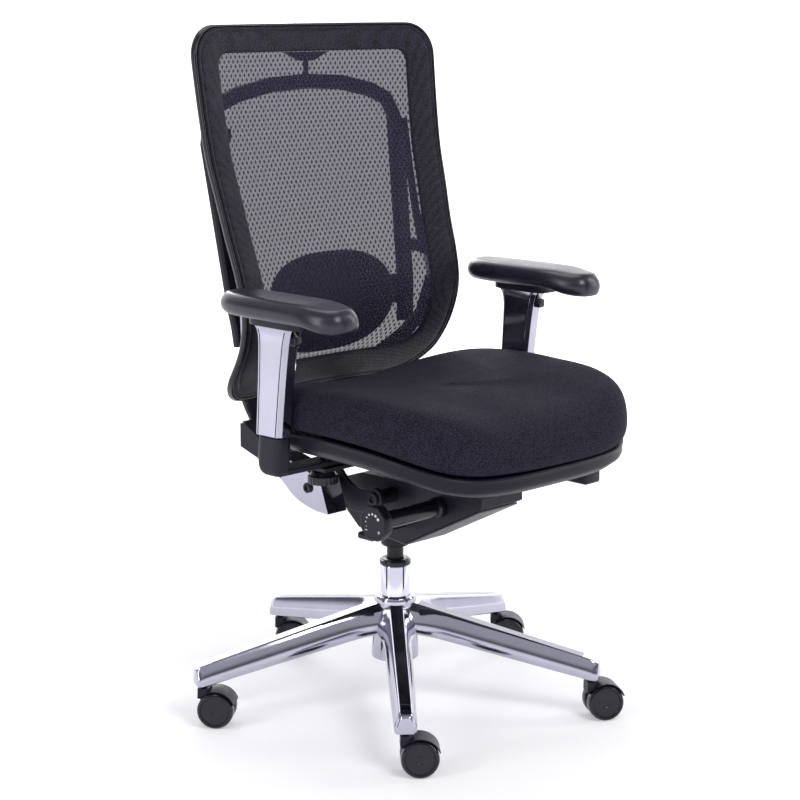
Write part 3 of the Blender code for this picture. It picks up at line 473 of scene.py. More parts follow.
def build_net():
    """The see-through net: a sheer knit with staggered rows of denser, elongated knots."""
    step_x, step_z = NET_WIDE / 2, NET_TALL / 2
    window = back_outline(FRAME_BORDER - NET_HIDDEN, 0.024, 0.044, steps=6)
    columns, rows = int(0.56 / step_x), int(0.6 / step_z)
    bm = bmesh.new()
    grid = {}

    def corner(i, j):
        if (i, j) not in grid:
            grid[i, j] = bm.verts.new((i * step_x, 0.0, NET_MIDDLE + j * step_z))
        return grid[i, j]

    for j in range(-rows, rows):
        for i in range(-columns, columns):
            leaning_x = i * step_x + NET_SLANT * j * step_z
            if (i + j) % 2 or not inside((leaning_x, NET_MIDDLE + j * step_z), window):
                continue
            outer = [corner(i - 1, j), corner(i, j - 1), corner(i + 1, j), corner(i, j + 1)]
            centre = Vector((i * step_x, 0.0, NET_MIDDLE + j * step_z))
            inner = [bm.verts.new(centre + (vert.co - centre) * KNOT) for vert in outer]
            for k in range(4):
                bm.faces.new((outer[k], outer[(k + 1) % 4], inner[(k + 1) % 4], inner[k]))
            bm.faces.new(inner).material_index = 1
    for vert in bm.verts:
        x, z = vert.co.x, vert.co.z
        relief = NET_RELIEF * sin(pi * x / step_x) * cos(pi * z / step_z)
        vert.co = back_surface(x + NET_SLANT * (z - NET_MIDDLE), z, NET_BEHIND + relief) + OFFSET
    mesh = bpy.data.meshes.new("net")
    bm.to_mesh(mesh)
    bm.free()
    dense = [face.material_index for face in mesh.polygons]
    net = add_piece("back_net", mesh, "back", "back_mesh_fabric", None, ("back_mesh",), smooth=180)
    mesh.materials.append(KNOTS)
    mesh.polygons.foreach_set("material_index", dense)
    thick = net.modifiers.new("thick", "SOLIDIFY")
    thick.thickness = NET_THICKNESS
    thick.offset = 0.0


build_back()
build_net()


# ---- seat


RIM_UNDER = [(-0.365, 0.446), (-0.33, 0.451), (-0.26, 0.472), (-0.18, 0.484), (0.0, 0.487), (0.13, 0.483)]
SEAT_TOP = [(-0.365, 0.516), (-0.345, 0.538), (-0.3, 0.556), (-0.2, 0.569), (-0.05, 0.569),
            (0.05, 0.563), (0.13, 0.548)]
SEAT_HALF_WIDTH, SEAT_HALF_DEPTH, SEAT_CENTRE_Y = 0.256, 0.2425, -0.1175
SHELL_THICKNESS, CUSHION_GAP = 0.021, 0.0015
SEAT_POINTS = 128
EVENING_ROUNDS = 10
RUNNER_WIDTH = 0.018


def seat_outline():
    """The seat's plan, squarer at the rear than at the front."""
    rear = superellipse(SEAT_HALF_WIDTH, SEAT_HALF_DEPTH, 4.2, 720)
    front = superellipse(SEAT_HALF_WIDTH, SEAT_HALF_DEPTH, 3.3, 720)
    return evened([back if back[1] > 0 else fore for back, fore in zip(rear, front)], SEAT_POINTS)


def rim_under(y):
    """The height of the underside of the shell's rim."""
    return smooth_value(RIM_UNDER, y)


def seat_ring(outline, share, height, overhang=0.0):
    """A ring at a share of the outline, wider at the sides and front by the overhang, also a share."""
    ring = []
    for point in outline:
        x = point.x * (share + overhang)
        y = point.y * (share + (overhang if point.y < 0 else 0.0)) + SEAT_CENTRE_Y
        ring.append((x, y, height(x, y)))
    return ring


def cushion_top(x, y):
    """The top of the cushion: hollowed for the sitter, raised at the sides, rolled over at the front."""
    side = abs(x) / SEAT_HALF_WIDTH
    hollow = 0.007 * exp(-((x / 0.13) ** 2 + ((y + 0.02) / 0.15) ** 2))
    thighs = 0.004 * exp(-(((abs(x) - 0.1) / 0.065) ** 2 + ((y + 0.26) / 0.12) ** 2))
    return smooth_value(SEAT_TOP, y) - 0.004 + 0.018 * side**2 - hollow - thighs


def build_cushion():
    """The padded cushion, with bulging sides and a crowned top that its filling swells."""
    outline = seat_outline()

    def wall(up):
        """Between the shell's rim and the top, at a share of the way up."""
        def height(x, y):
            seat_line = rim_under(y) + SHELL_THICKNESS + CUSHION_GAP
            return seat_line * (1 - up) + cushion_top(x, y) * up
        return height

    # Rows of share of the outline, share of the way up, and overhang.
    side = [(0.3, 0.0, 0.0), (0.95, 0.0, 0.0), (0.99, 0.015, 0.0), (1.0045, 0.1, 0.007),
            (1.009, 0.24, 0.015), (1.008, 0.42, 0.018), (1.002, 0.61, 0.018), (0.989, 0.785, 0.016),
            (0.967, 0.9, 0.012), (0.935, 0.965, 0.007), (0.89, 0.992, 0.0)]
    top = [(share, 1.0, 0.0) for share in (0.82, 0.75, 0.67, 0.59, 0.5, 0.41, 0.32, 0.24, 0.16, 0.09, 0.04)]
    rings = [seat_ring(outline, share, wall(up), overhang) for share, up, overhang in side + top]
    cushion = add_piece("seat_cushion_padded", loft(rings), "seat", "seat_fabric", None, ("seat_cushion",),
                        smooth=180)
    swell(cushion, SEAT_POINTS, cap=0.0018, pressure=0.5)
    fine = cushion.modifiers.new("fine", "SUBSURF")
    fine.levels = fine.render_levels = 1


def swell(obj, ring, cap, pressure, frames=14):
    """Cloth under pressure on a mesh made of rings. Its steps are evened out and no longer than the cap."""
    count = len(obj.data.vertices)
    start = np.empty(count * 3)
    obj.data.vertices.foreach_get("co", start)
    cloth = obj.modifiers.new("swell", "CLOTH")
    stuff = dict(quality=6, mass=0.3, tension_stiffness=25, compression_stiffness=25, bending_stiffness=4,
                 use_pressure=True, uniform_pressure_force=pressure)
    for key, value in stuff.items():
        setattr(cloth.settings, key, value)
    cloth.settings.effector_weights.gravity = 0.0
    cloth.point_cache.frame_start, cloth.point_cache.frame_end = 1, frames
    scene = bpy.context.scene
    for number in range(1, frames + 1):
        scene.frame_set(number)
    graph = bpy.context.evaluated_depsgraph_get()
    result = np.empty(count * 3)
    obj.evaluated_get(graph).data.vertices.foreach_get("co", result)
    obj.modifiers.remove(cloth)
    scene.frame_set(1)
    step = (result - start).reshape(-1, ring, 3)
    for _ in range(EVENING_ROUNDS):
        step = 0.5 * step + 0.25 * (np.roll(step, 1, axis=1) + np.roll(step, -1, axis=1))
        step[1:-1] = 0.5 * step[1:-1] + 0.25 * (step[:-2] + step[2:])
    length = np.linalg.norm(step, axis=2, keepdims=True)
    step *= cap / np.maximum(length, cap)
    obj.data.vertices.foreach_set("co", start + step.ravel())


def build_shell():
    """The moulded pan under the cushion, with its rounded rim and two slide runners."""
    outline = seat_outline()

    def above_rim(rise):
        return lambda x, y: rim_under(y) + rise

    # Rows of share of the outline and share of the rim's thickness, then of share and drop below the rim.
    rim = [(0.3, 0.9), (0.955, 0.9), (0.975, 0.97), (0.992, 1.0), (1.000, 0.96), (1.003, 0.86),
           (0.9995, 0.76), (0.9965, 0.68), (0.9985, 0.45), (0.998, 0.15), (0.991, -0.05)]
    pan = [(0.975, 0.0045), (0.95, 0.0105), (0.9, 0.016), (0.82, 0.0185), (0.55, 0.0205), (0.2, 0.023)]
    rings = [seat_ring(outline, share, above_rim(SHELL_THICKNESS * up)) for share, up in rim]
    rings += [seat_ring(outline, share, above_rim(-drop)) for share, drop in pan]
    runners = [plate(box(-0.2, 0.06, 0.455, 0.47), low, low + RUNNER_WIDTH) for low in (-0.096, 0.078)]
    add_piece("seat_shell_moulded", joined(loft(rings), *runners), "seat", "satin_black_plastic", None,
              ("seat_shell",), smooth=40)


# ---- armrests


ARM_X, ARM_LEAN = 0.28, radians(5.2)
LEAN = Matrix.Rotation(ARM_LEAN, 4, "X")
ARM_FOOT = Vector((0.0, -0.0115, 0.44))
POST_SET_BACK = 0.003  # the sleeve's middle behind the inner post's
SLEEVE_LENGTH, BUTTON_Z = 0.2405, 0.659
# LINE_INSET to LINE_PROUD size the black strips laid in the sleeve's grooves, which are painted shade.
LINE_INSET, LINE_HALF, LINE_DEPTH, LINE_PROUD = 0.0083, 0.0007, 0.0012, 0.00015
TONGUE_Y, CLAMP_X = -0.016, 0.178
PAD_CENTRE_Y, PAD_HALF_LENGTH, PAD_HALF_WIDTH, PAD_UNDER = -0.051, 0.136, 0.046, 0.6895


def on_post(sign, x, y, height):
    """A point of a leaning armrest post, from its foot."""
    return Vector((sign * ARM_X, *ARM_FOOT.yz)) + LEAN @ Vector((x, y, height))


def post_ring(sign, height, half_x, half_y):
    """The polished sleeve's section, cut level: flat sides with grooves beside broad chamfers."""
    c = 0.0065
    x, y = half_x, half_y
    quarter = [(x, y - c), (x * 0.985, y - c * 0.75), (x - c * 0.8, y - 0.001), (x - c, y)]
    groove = [(x, y - c - 0.001), (x - 0.0009, y - c - 0.0018), (x, y - c - 0.0028)]
    face = groove[::-1] + quarter
    section = face + [(-a, b) for a, b in face[::-1]]
    section = section + [(a, -b) for a, b in section[::-1]]
    section = [(a, b + POST_SET_BACK) for a, b in section]
    return [on_post(sign, a, b, height - b * tan(ARM_LEAN)) for a, b in section]


def build_sleeve(side, sign):
    """The polished sleeve, with a fine dark line down each groove: black strips that are painted shade in the
    grooves.
    """
    body = f"armrest_{side}"
    stations = [(0.066, 0.0141, 0.0276), (0.0675, 0.015, 0.0285), (0.07, 0.015, 0.0286),
                (0.11, 0.015, 0.0295), (0.15, 0.015, 0.0307), (0.185, 0.015, 0.032),
                (0.212, 0.015, 0.0338), (0.226, 0.0153, 0.0358), (0.234, 0.016, 0.0388),
                (0.2395, 0.0172, 0.0425)]
    sleeve = loft([post_ring(sign, *row) for row in stations])
    add_piece(f"arm_sleeve_{side}_polished", sleeve, body, "polished_aluminium",
              replaces=(f"arm_sleeve_{side}",), bevel=0.0005, smooth=24)

    line = box(-LINE_DEPTH, LINE_PROUD, -LINE_HALF, LINE_HALF)
    painted_groove_shade = []
    for face, edge in ((1, 1), (1, -1), (-1, 1), (-1, -1)):
        rings = []
        for height, half_x, half_y in stations[1:-1]:
            post = post_ring(sign, height, half_x, half_y)
            middle = sum(post, Vector()) / len(post)
            rim = middle + Vector((face * half_x, edge * (half_y - LINE_INSET), 0.0))
            rings.append([rim + Vector((face * out, shift, 0.0)) for out, shift in line])
        painted_groove_shade.append(loft(rings))
    # The black strips in the grooves are painted shade, not a part of the sleeve.
    add_piece(f"arm_sleeve_{side}_lines", joined(*painted_groove_shade), body, "polished_aluminium", LOOKS["black_steel"],
              smooth=24)


def build_flange(side, sign):
    """The plate that carries the pad, and the height button in front of the sleeve."""
    top = on_post(sign, 0, 0, SLEEVE_LENGTH)
    outline = evened(superellipse(0.024, 0.0585, 5.0, 240), 56)
    middle_y = top.y - 0.0035
    rings = [[(top.x + p.x * s, middle_y + p.y * s, z) for p in outline]
             for s, z in ((0.9, top.z - 0.0008), (0.985, top.z + 0.0004), (1.0, top.z + 0.002),
                          (1.0, PAD_UNDER + 0.001), (0.95, PAD_UNDER + 0.0016))]
    shown(f"arm_flange_{side}", loft(rings), f"armrest_{side}", smooth=40)

    button = evened(superellipse(0.0075, 0.0078, 4.0, 120), 32)
    rings = [[(sign * ARM_X + p.x * s, y, BUTTON_Z + p.y * s) for p in button]
             for s, y in ((0.8, -0.0738), (0.93, -0.0734), (1.0, -0.0722), (1.0, -0.0535))]
    shown(f"arm_button_{side}", loft(rings), f"button_{side}", RIM, smooth=40)


def build_pad(side, sign):
    """The glossy pad: bulbous and drooping at its front end, with a low crown."""
    droop = [(-0.19, -0.015), (-0.155, -0.0105), (-0.12, -0.002), (-0.095, 0.0000), (0.08, 0.0005)]
    pad = evened(superellipse(PAD_HALF_WIDTH, PAD_HALF_LENGTH, 3.1, 480), 96)

    def pad_ring(inset, height, sag):
        ring = []
        for p in pad:
            x, y = p.x * (1 - inset / PAD_HALF_WIDTH), p.y * (1 - inset / PAD_HALF_LENGTH)
            bulb = 1.0 + 0.02 * exp(-(((y + 0.095) / 0.045) ** 2))
            fall = smooth_value(droop, y + PAD_CENTRE_Y) * sag * (1.0 - 0.55 * height / 0.035)
            crown = 0.0022 * (1 - (x / PAD_HALF_WIDTH) ** 2) * (1 if height > 0.03 else 0)
            ring.append((sign * ARM_X + x * bulb, y + PAD_CENTRE_Y, PAD_UNDER + height + fall + crown))
        return ring

    rows = [(0.03, 0.0015), (0.012, 0.0017), (0.0085, 0.0026), (0.004, 0.0062), (0.0012, 0.0105),
            (0.0, 0.0155), (0.0003, 0.0205), (0.0018, 0.0255), (0.0048, 0.0298), (0.009, 0.0328),
            (0.015, 0.0343), (0.023, 0.0346), (0.033, 0.0346), (0.0395, 0.0346), (0.0435, 0.0346),
            (0.0455, 0.0346)]
    rings = [pad_ring(inset, height, 1.0 if height > 0.004 else 0.35) for inset, height in rows]
    shown(f"arm_pad_{side}", loft(rings), f"armrest_{side}", smooth=180)


def build_bracket(side, sign):
    """The black elbow under the post, rounded below, with its tongue under the seat."""
    stations = [(0.504, -0.0418, 0.0072, 0.0148), (0.49, -0.0412, 0.0085, 0.015),
                (0.47, -0.0404, 0.0102, 0.015), (0.459, -0.0398, 0.0098, 0.0149),
                (0.452, -0.0392, 0.0075, 0.0146), (0.447, -0.0384, 0.003, 0.0138),
                (0.4442, -0.0365, -0.003, 0.0122)]
    rings = []
    for z, front, rear, half in stations:
        middle, reach = (front + rear) / 2, (rear - front) / 2
        section = evened(superellipse(half, reach, 5.5, 240), 44)
        rings.append([(sign * ARM_X + p.x, middle + p.y, z) for p in section])
    inner = loft([[on_post(sign, a, b, height) for a, b in box(-0.008, 0.008, -0.016, 0.016)]
                  for height in (0.05, 0.196)])
    low, high = sorted((sign * 0.106, sign * (ARM_X + 0.004)))
    half, bottom, top, chamfer = 0.02, 0.443, 0.4515, 0.001
    tongue = [(TONGUE_Y - half, bottom + chamfer), (TONGUE_Y - half + chamfer, bottom),
              (TONGUE_Y + half - chamfer, bottom), (TONGUE_Y + half, bottom + chamfer),
              (TONGUE_Y + half, top - chamfer), (TONGUE_Y + half - chamfer, top),
              (TONGUE_Y - half + chamfer, top), (TONGUE_Y - half, top - chamfer)]
    whole = joined(loft(rings), inner, plate(tongue, low, high))
    shown(f"arm_bracket_{side}", whole, f"arm_{side}", smooth=40)


def build_clamp(side, sign):
    """The fluted knob under the tongue that locks the armrest's width."""
    flutes = 22

    def wave(number, angle):
        return -0.0009 * (0.5 + 0.5 * cos(flutes * angle)) ** 2 if 2 <= number <= 6 else 0.0

    profile = [(0.0, 0.412), (0.017, 0.412), (0.0232, 0.4126), (0.0245, 0.414), (0.0245, 0.423),
               (0.0243, 0.425), (0.0232, 0.4262), (0.0215, 0.4268), (0.0205, 0.429), (0.0185, 0.4325),
               (0.014, 0.4348), (0.007, 0.4356), (0.0045, 0.4358), (0.0045, 0.4575), (0.0, 0.4575)]
    at = Matrix.Translation((sign * CLAMP_X, TONGUE_Y, 0.0))
    shown(f"arm_clamp_knob_{side}", lathe(profile, flutes * 8, at, wave), f"clamp_{side}", RIM, smooth=32)


# ---- base, lift and casters


STEM_CIRCLE = 0.335
ARM_HEADINGS = [-132.0 + 72.0 * k for k in range(5)]
HUB_TOP, HUB_UNDER, ARM_BELOW_HUB, ARM_TIP_TOP, ARM_TIP_UNDER = 0.188, 0.1365, 0.003, 0.104, 0.07
TRAIL, TRAIL_HEADINGS = 0.0215, [-42.0, -33.0, -45.0, -45.0, -51.0]
WHEEL_RADIUS, WHEEL_WIDTH, HOOD_WEB = 0.03, 0.0195, 0.008


def arm_top(share):
    """The height of a base arm's top, at a share of the way out to the caster's stem."""
    root = HUB_TOP - ARM_BELOW_HUB
    return root - (root - ARM_TIP_TOP) * share


def base_ring(along, squeeze=1.0, lift=0.0):
    """Section of a base arm: a flat top, polished sloping sides and a rounded lower edge."""
    share = along / STEM_CIRCLE
    top = arm_top(share)
    under = HUB_UNDER - (HUB_UNDER - ARM_TIP_UNDER) * share
    flare = 0.01 * exp(-(((along - 0.03) / 0.03) ** 2))
    half = (0.024 - 0.0055 * share + flare) * squeeze
    ridge = (0.0115 - 0.002 * share) * squeeze
    under += lift
    waist = under + 0.45 * (top - under)
    right = [(ridge * 0.9, top + 0.0002), (ridge, top - 0.0006), (ridge + 0.0012, top - 0.0022),
             (half * 0.72, top - 0.3 * (top - waist) - 0.002), (half * 0.9, waist + 0.002),
             (half * 0.985, waist - 0.004), (half, under + 0.004), (half * 0.985, under + 0.0012),
             (half * 0.93, under)]
    left = [(-a, b) for a, b in right[::-1]]
    return [(along, a, b) for a, b in left + right]


def ridge_ring(along):
    """A thin strip laid on the flat top of a base arm, whose darker metal is a painted reflection."""
    share = along / STEM_CIRCLE
    top = arm_top(share)
    half = (0.0115 - 0.002 * share) * 0.93
    return [(along, -half, top + 0.0001), (along, half, top + 0.0001), (along, half * 0.98, top + 0.0005),
            (along, -half * 0.98, top + 0.0005)]


def build_base():
    """Five arms with rounded tips round a turned hub."""
    arms = []
    strips = []
    for heading in ARM_HEADINGS:
        rings = [base_ring(along)
                 for along in (0.02, 0.034, 0.046, 0.058, 0.072, 0.09, 0.12, 0.18, 0.24, 0.3, 0.33)]
        for step, squeeze, drop in ((0.3385, 0.985, 0.0004), (0.3435, 0.93, 0.0016), (0.3475, 0.82, 0.004),
                                    (0.349, 0.7, 0.0062)):
            ring = base_ring(step, squeeze)
            middle_z = (ring[0][2] + max(p[2] for p in ring)) / 2
            rings.append([(x, y, z - drop if z > middle_z else z + drop * 0.3) for x, y, z in ring])
        arms.append(loft(rings, offset=Vector()))
        strips.append(loft([ridge_ring(along) for along in (0.042, 0.18, 0.322)], offset=Vector()))
        for mesh in (arms[-1], strips[-1]):
            mesh.transform(Matrix.Translation(OFFSET) @ Matrix.Rotation(radians(heading), 4, "Z"))
    hub = lathe([(0.0255, 0.079), (0.036, 0.078), (0.0395, 0.08), (0.04, 0.083), (0.0375, 0.12),
                 (0.0362, 0.166), (0.0352, 0.181), (0.0345, 0.1845), (0.033, 0.187), (0.03, 0.188),
                 (0.027, 0.1876), (0.0255, 0.1865)], 96)
    add_piece("base_star_polished", joined(*arms, hub), "base", "polished_aluminium", None, ("base_star",),
              bevel=0.0004, smooth=26)
    # The top strips' darker metal is a painted reflection along the arms' flat tops.
    add_piece("base_ridges", joined(*strips), "base", "polished_aluminium", RIDGE_PAINTED_REFLECTION, smooth=26)


def build_lift():
    """The gas lift: chromed column, cap ring at its mouth, and piston rod."""
    column = [(0.0, 0.084), (0.0225, 0.0845), (0.0246, 0.087), (0.0249, 0.09), (0.0249, 0.2385),
              (0.0244, 0.2398), (0.015, 0.24), (0.015, 0.1), (0.0, 0.1)]
    add_piece("gas_column_chromed", lathe(column, 96), "base", "chromed_steel", replaces=("gas_column",),
              smooth=32)
    cap = [(0.015, 0.2405), (0.0256, 0.2405), (0.0262, 0.2412), (0.0262, 0.247), (0.0257, 0.2482),
           (0.0238, 0.249), (0.023, 0.2504), (0.0212, 0.251), (0.0175, 0.251), (0.015, 0.25)]
    shown("column_cap", lathe(cap, 96), "base", RIM, smooth=32)
    piston = [(0.0, 0.118), (0.0138, 0.118), (0.014, 0.119), (0.014, 0.3), (0.0, 0.3)]
    shown("gas_piston", lathe(piston, 64), "piston", smooth=32)


def build_caster(number, heading, trail):
    """A twin-wheel caster under a base arm: two wheels, the hood with its stem, and the axle."""
    name = f"caster_{number}"
    angle = radians(heading)
    stem = Vector((STEM_CIRCLE * cos(angle), STEM_CIRCLE * sin(angle), 0.0))
    frame_of = Matrix.Translation(stem) @ Matrix.Rotation(radians(trail), 4, "Z")
    r, w = WHEEL_RADIUS, WHEEL_WIDTH
    wheel = [(0.0, w - 0.0032), (0.006, w - 0.003), (0.0072, w - 0.0022), (0.019, w - 0.0016),
             (0.0215, w - 0.0022), (0.0228, w - 0.0022), (0.024, w - 0.0006), (0.0262, w),
             (0.0278, w - 0.0006), (0.0292, w - 0.0024), (0.03, w - 0.0056), (0.03, 0.003),
             (0.0294, 0.0008), (0.0284, 0.0), (0.0046, 0.0), (0.0046, 0.014), (0.0, 0.014)]
    for side, sign in SIDES:
        lay = (frame_of @ Matrix.Translation((TRAIL, sign * (HOOD_WEB / 2 + 0.0004), r))
               @ Matrix.Rotation(-sign * pi / 2, 4, "X"))
        shown(f"{name}_wheel_{side}", lathe(wheel, 72, lay), f"{name}_{side}_wheel", RIM, smooth=30)

    fender = arc((TRAIL, r), 0.0333, 18, 118, 24) + arc((TRAIL, r), 0.0314, 118, 18, 24)
    web = (arc((TRAIL, r), 0.0105, 200, 345, 10) + [(TRAIL + 0.026, 0.0335)]
           + arc((TRAIL, r), 0.0325, 24, 118, 16) + [(0.000, 0.05), (-0.009, 0.046)])
    neck = [(-0.009, 0.047), (0.006, 0.052), (0.011, 0.06), (0.011, 0.0652), (-0.0085, 0.0652)]
    hood = joined(placed(fender, 0.0208, frame_of), placed(web, HOOD_WEB / 2, frame_of),
                  placed(neck, 0.0125, frame_of),
                  lathe(rod(0.0055, 0.092, 0.06), 24, frame_of))
    shown(f"{name}_hood", hood, name, bevel=0.0008)
    pin = lathe(rod(0.0038, 0.0135, -0.0135), 24,
                frame_of @ Matrix.Translation((TRAIL, 0, r)) @ Matrix.Rotation(pi / 2, 4, "X"))
    shown(f"{name}_axle", pin, name, smooth=30)


def placed(outline, half, matrix):
    """An outline in a caster's XZ plane, given half a thickness to each side and placed by a matrix."""
    return loft([[matrix @ Vector((a, y, b)) for a, b in outline] for y in (-half, half)])


# ---- mechanism


RECLINE_AXIS, CARRIER_BOLT, TENSION_AXIS = (-0.0425, 0.375), (0.05, 0.388), (-0.15, 0.374)
PLATE_INNER, PLATE_OUTER = 0.084, 0.0915
CARRIER_OUTER = 0.15
CARRIER_FRONT_END, CARRIER_UPPER_END = 0.118, 0.6  # the ends of its black rear part in Y and in Z
KNOB_FACE, DOTS, DOT_CIRCLE = -0.198, 7, 0.015
LUMBAR_Y, LUMBAR_MIDDLE = 0.1375, 0.667


def along_x(x, y, z, sign=1.0):
    """A frame whose Z points out along sign X from a point."""
    return Matrix.Translation((x, y, z)) @ Matrix.Rotation(sign * pi / 2, 4, "Y")


def bolt_head(radius, height):
    """A socket head with a shallow recess, from its seat up."""
    floor = height - 0.0024
    return [(0.0, 0.0), (radius, 0.0), (radius, height - 0.0008), (radius - 0.0008, height),
            (radius * 0.55, height), (radius * 0.5, height - 0.0006), (radius * 0.5, floor), (0.0, floor)]


def build_links():
    """The black side plates, the carrier's bolts and the recline pivot's heads."""
    ear = arc(RECLINE_AXIS, 0.0185, 62, 240, 24)
    top = [(0.075, 0.418), (0.056, 0.4205), (0.046, 0.419), (0.037, 0.413), (0.029, 0.4045),
           (0.02, 0.3965), (0.011, 0.3905), (0.002, 0.3872), (-0.007, 0.386), (-0.016, 0.3866),
           (-0.025, 0.3888)]
    low = [(-0.036, 0.353), (-0.02, 0.3482), (0.0, 0.3468), (0.02, 0.3475), (0.048, 0.354),
           (0.075, 0.3645)]
    for side, sign in SIDES:
        first, last = sorted((sign * PLATE_INNER, sign * PLATE_OUTER))
        shown(f"side_plate_{side}", plate(top + ear + low, first, last), "back", bevel=0.0012, segments=3)
        on_carrier = along_x(sign * (CARRIER_OUTER + 0.0004), *CARRIER_BOLT, sign)
        on_plate = along_x(sign * (PLATE_OUTER + 0.0002), *CARRIER_BOLT, sign)
        head = lathe(bolt_head(0.0085, 0.0041), 48, on_carrier)
        shank = lathe(rod(0.0095, 0.0162), 32, on_plate)
        shown(f"carrier_bolt_{side}", joined(head, shank), "back", smooth=30)
    parts = []
    for sign in (1.0, -1.0):
        on_plate = along_x(sign * (PLATE_OUTER + 0.0002), *RECLINE_AXIS, sign)
        in_housing = along_x(sign * 0.0484, *RECLINE_AXIS, sign)
        parts += [lathe(bolt_head(0.011, 0.004), 48, on_plate), lathe(rod(0.0125, 0.0352), 40, in_housing)]
    shown("recline_pivot_pin", joined(*parts), "mechanism", LOOKS["black_steel"], smooth=30)


def build_knob():
    """The eight-sided tension knob: a recessed face with growing dots between a minus and a plus."""
    y0, z0 = TENSION_AXIS
    corners = []
    for k in range(8):
        for spread in (-3.5, 3.5):
            angle = radians(22.5 + 45.0 * k + spread)
            corners.append((cos(angle), sin(angle)))
    section = ((-0.1806, 0.0255), (-0.181, 0.028), (-0.1822, 0.0288), (-0.1965, 0.0288), (-0.198, 0.0281),
               (-0.1985, 0.0268), (-0.1985, 0.025), (KNOB_FACE, 0.0243), (KNOB_FACE, 0.01))
    rings = [[(x, y0 + a * radius, z0 + b * radius) for a, b in corners] for x, radius in section]
    shown("tension_knob", loft(rings), "tension_control")

    marks = []
    for k in range(DOTS):
        share = k / (DOTS - 1)
        angle = radians(205.0 - 170.0 * share)
        y, z = y0 - DOT_CIRCLE * cos(angle), z0 + DOT_CIRCLE * sin(angle)
        marks.append(lathe(rod(0.0008 + 0.0017 * share, 0.0004), 20, along_x(KNOB_FACE, y, z, -1.0)))
    across, upright = (0.0026, 0.0006), (0.0006, 0.0026)
    for shift, bars in ((0.014, (across,)), (-0.014, (across, upright))):
        for half_y, half_z in bars:
            y, z = y0 + shift, z0 - 0.012
            bar = box(y - half_y, y + half_y, z - half_z, z + half_z)
            marks.append(plate(bar, KNOB_FACE - 0.0004, KNOB_FACE + 0.0002))
    add_piece("tension_marks", joined(*marks), "tension_control", "black_nylon", MARKS, smooth=30)


def build_carrier():
    """The back carrier: polished forward arms and upper uprights, and a black rear cross between them."""
    behind = (Vector((0.0, CARRIER_FRONT_END, 0.0)), Vector((0.0, 1.0, 0.0)))
    above = (Vector((0.0, 0.0, CARRIER_UPPER_END)), Vector((0.0, 0.0, 1.0)))
    cuts = {"forward": [(*behind, True)], "upper": [(*above, False)],
            "rear": [(*behind, False), (*above, True)]}
    for name, planes in cuts.items():
        look = LOOKS["black_nylon"] if name == "rear" else None
        stands_for = ("back_carrier",) if name == "forward" else ()
        add_piece(f"back_carrier_{name}", cleaned("back_carrier", planes), "back", "polished_aluminium", look,
                  stands_for, bevel=0.0018)


def build_controls():
    """The tension tube, and the pieces whose CAD shape only needs its edges rounded."""
    y0, z0 = TENSION_AXIS
    tube = [(0.0, 0.0), (0.0115, 0.0), (0.0115, 0.0053), (0.0132, 0.0058), (0.014, 0.007),
            (0.014, 0.116), (0.015, 0.117), (0.0164, 0.119), (0.0168, 0.1205), (0.0168, 0.1295),
            (0.016, 0.1308), (0.0, 0.1308)]
    shown("tension_tube", lathe(tube, 64, along_x(-0.1795, y0, z0)), "mechanism", RIM, smooth=32)
    cad_copy("height_lever", "lift_control", 0.0012)
    cad_copy("tilt_lock_lever", "tilt_lock", 0.001)
    cad_copy("mechanism_housing", "mechanism", 0.0016)
    cad_copy("mechanism_cover", "mechanism", 0.001)
    cad_copy("seat_plate", "seat_support", 0.0008)
    build_carrier()
    cad_copy("arch_support", "back", 0.0018)
    for side, _ in SIDES:
        cad_copy(f"frame_bracket_{side}", "back", 0.0012)
    cad_copy("lumbar_carriage", "lumbar", 0.0012)


def build_lumbar():
    """The oval lumbar pad behind the net, leaning with it above and below its middle."""
    outline = evened(superellipse(0.1415, 0.086, 2.6, 360), 80)

    def ring(share, bulge, rim):
        points = []
        for p in outline:
            up = p.y * share
            lean = 0.2 * up if up > 0 else -0.34 * up
            y = LUMBAR_Y + lean + bulge + rim * share**3
            points.append((p.x * share, y, LUMBAR_MIDDLE + up))
        return points

    rows = [(share, -0.012, 0.01) for share in (0.04, 0.12, 0.3, 0.5, 0.7)]
    rows += [(0.86, -0.012, 0.0105), (0.95, -0.012, 0.0125), (0.99, -0.012, 0.016), (1.0, -0.008, 0.0155),
             (0.99, 0.0085, 0.0), (0.93, 0.0098, 0.0), (0.5, 0.0099, 0.0), (0.12, 0.0099, 0.0)]
    pad = shown("lumbar_pad", loft([ring(*row) for row in rows]), "lumbar", smooth=180)


build_cushion()
build_shell()
for arm_side, arm_sign in SIDES:
    for build in (build_sleeve, build_flange, build_pad, build_bracket, build_clamp):
        build(arm_side, arm_sign)
build_base()
build_lift()
for caster, (arm_heading, trail_heading) in enumerate(zip(ARM_HEADINGS, TRAIL_HEADINGS), start=1):
    build_caster(caster, arm_heading, trail_heading)
build_links()
build_knob()
build_controls()
build_lumbar()


# ---- stage


CAMERA_HEADING, CAMERA_PITCH = radians(-44.754), radians(11.405)
CAMERA_DISTANCE, CAMERA_HEIGHT = 3.2383, 1.1728
CAMERA_LENS, CAMERA_SHIFT = 90.009, 0.0060125
FLOOR_REACH, SWEEP_START, SWEEP_RADIUS, SWEEP_TOP = 6.0, 3.4, 1.2, 5.0
FLOOR_GLOW, FAR_GLOW, GLOW_FROM_TO = 0.26, 0.85, (1.5, 3.0)
CARD_HEADINGS, CARD_REACH, CARD_WIDTH, CARD_HEIGHT = (-202.75, -68.75), 2.3, 0.55, 2.2
# The sky's brightness against height, from straight down at 0 to straight up at 1.
SKY = ((0.545, 1.0), (0.58, 0.25), (0.63, 0.12), (0.68, 0.5), (0.86, 0.52))
WHITE = (1.0, 1.0, 1.0)
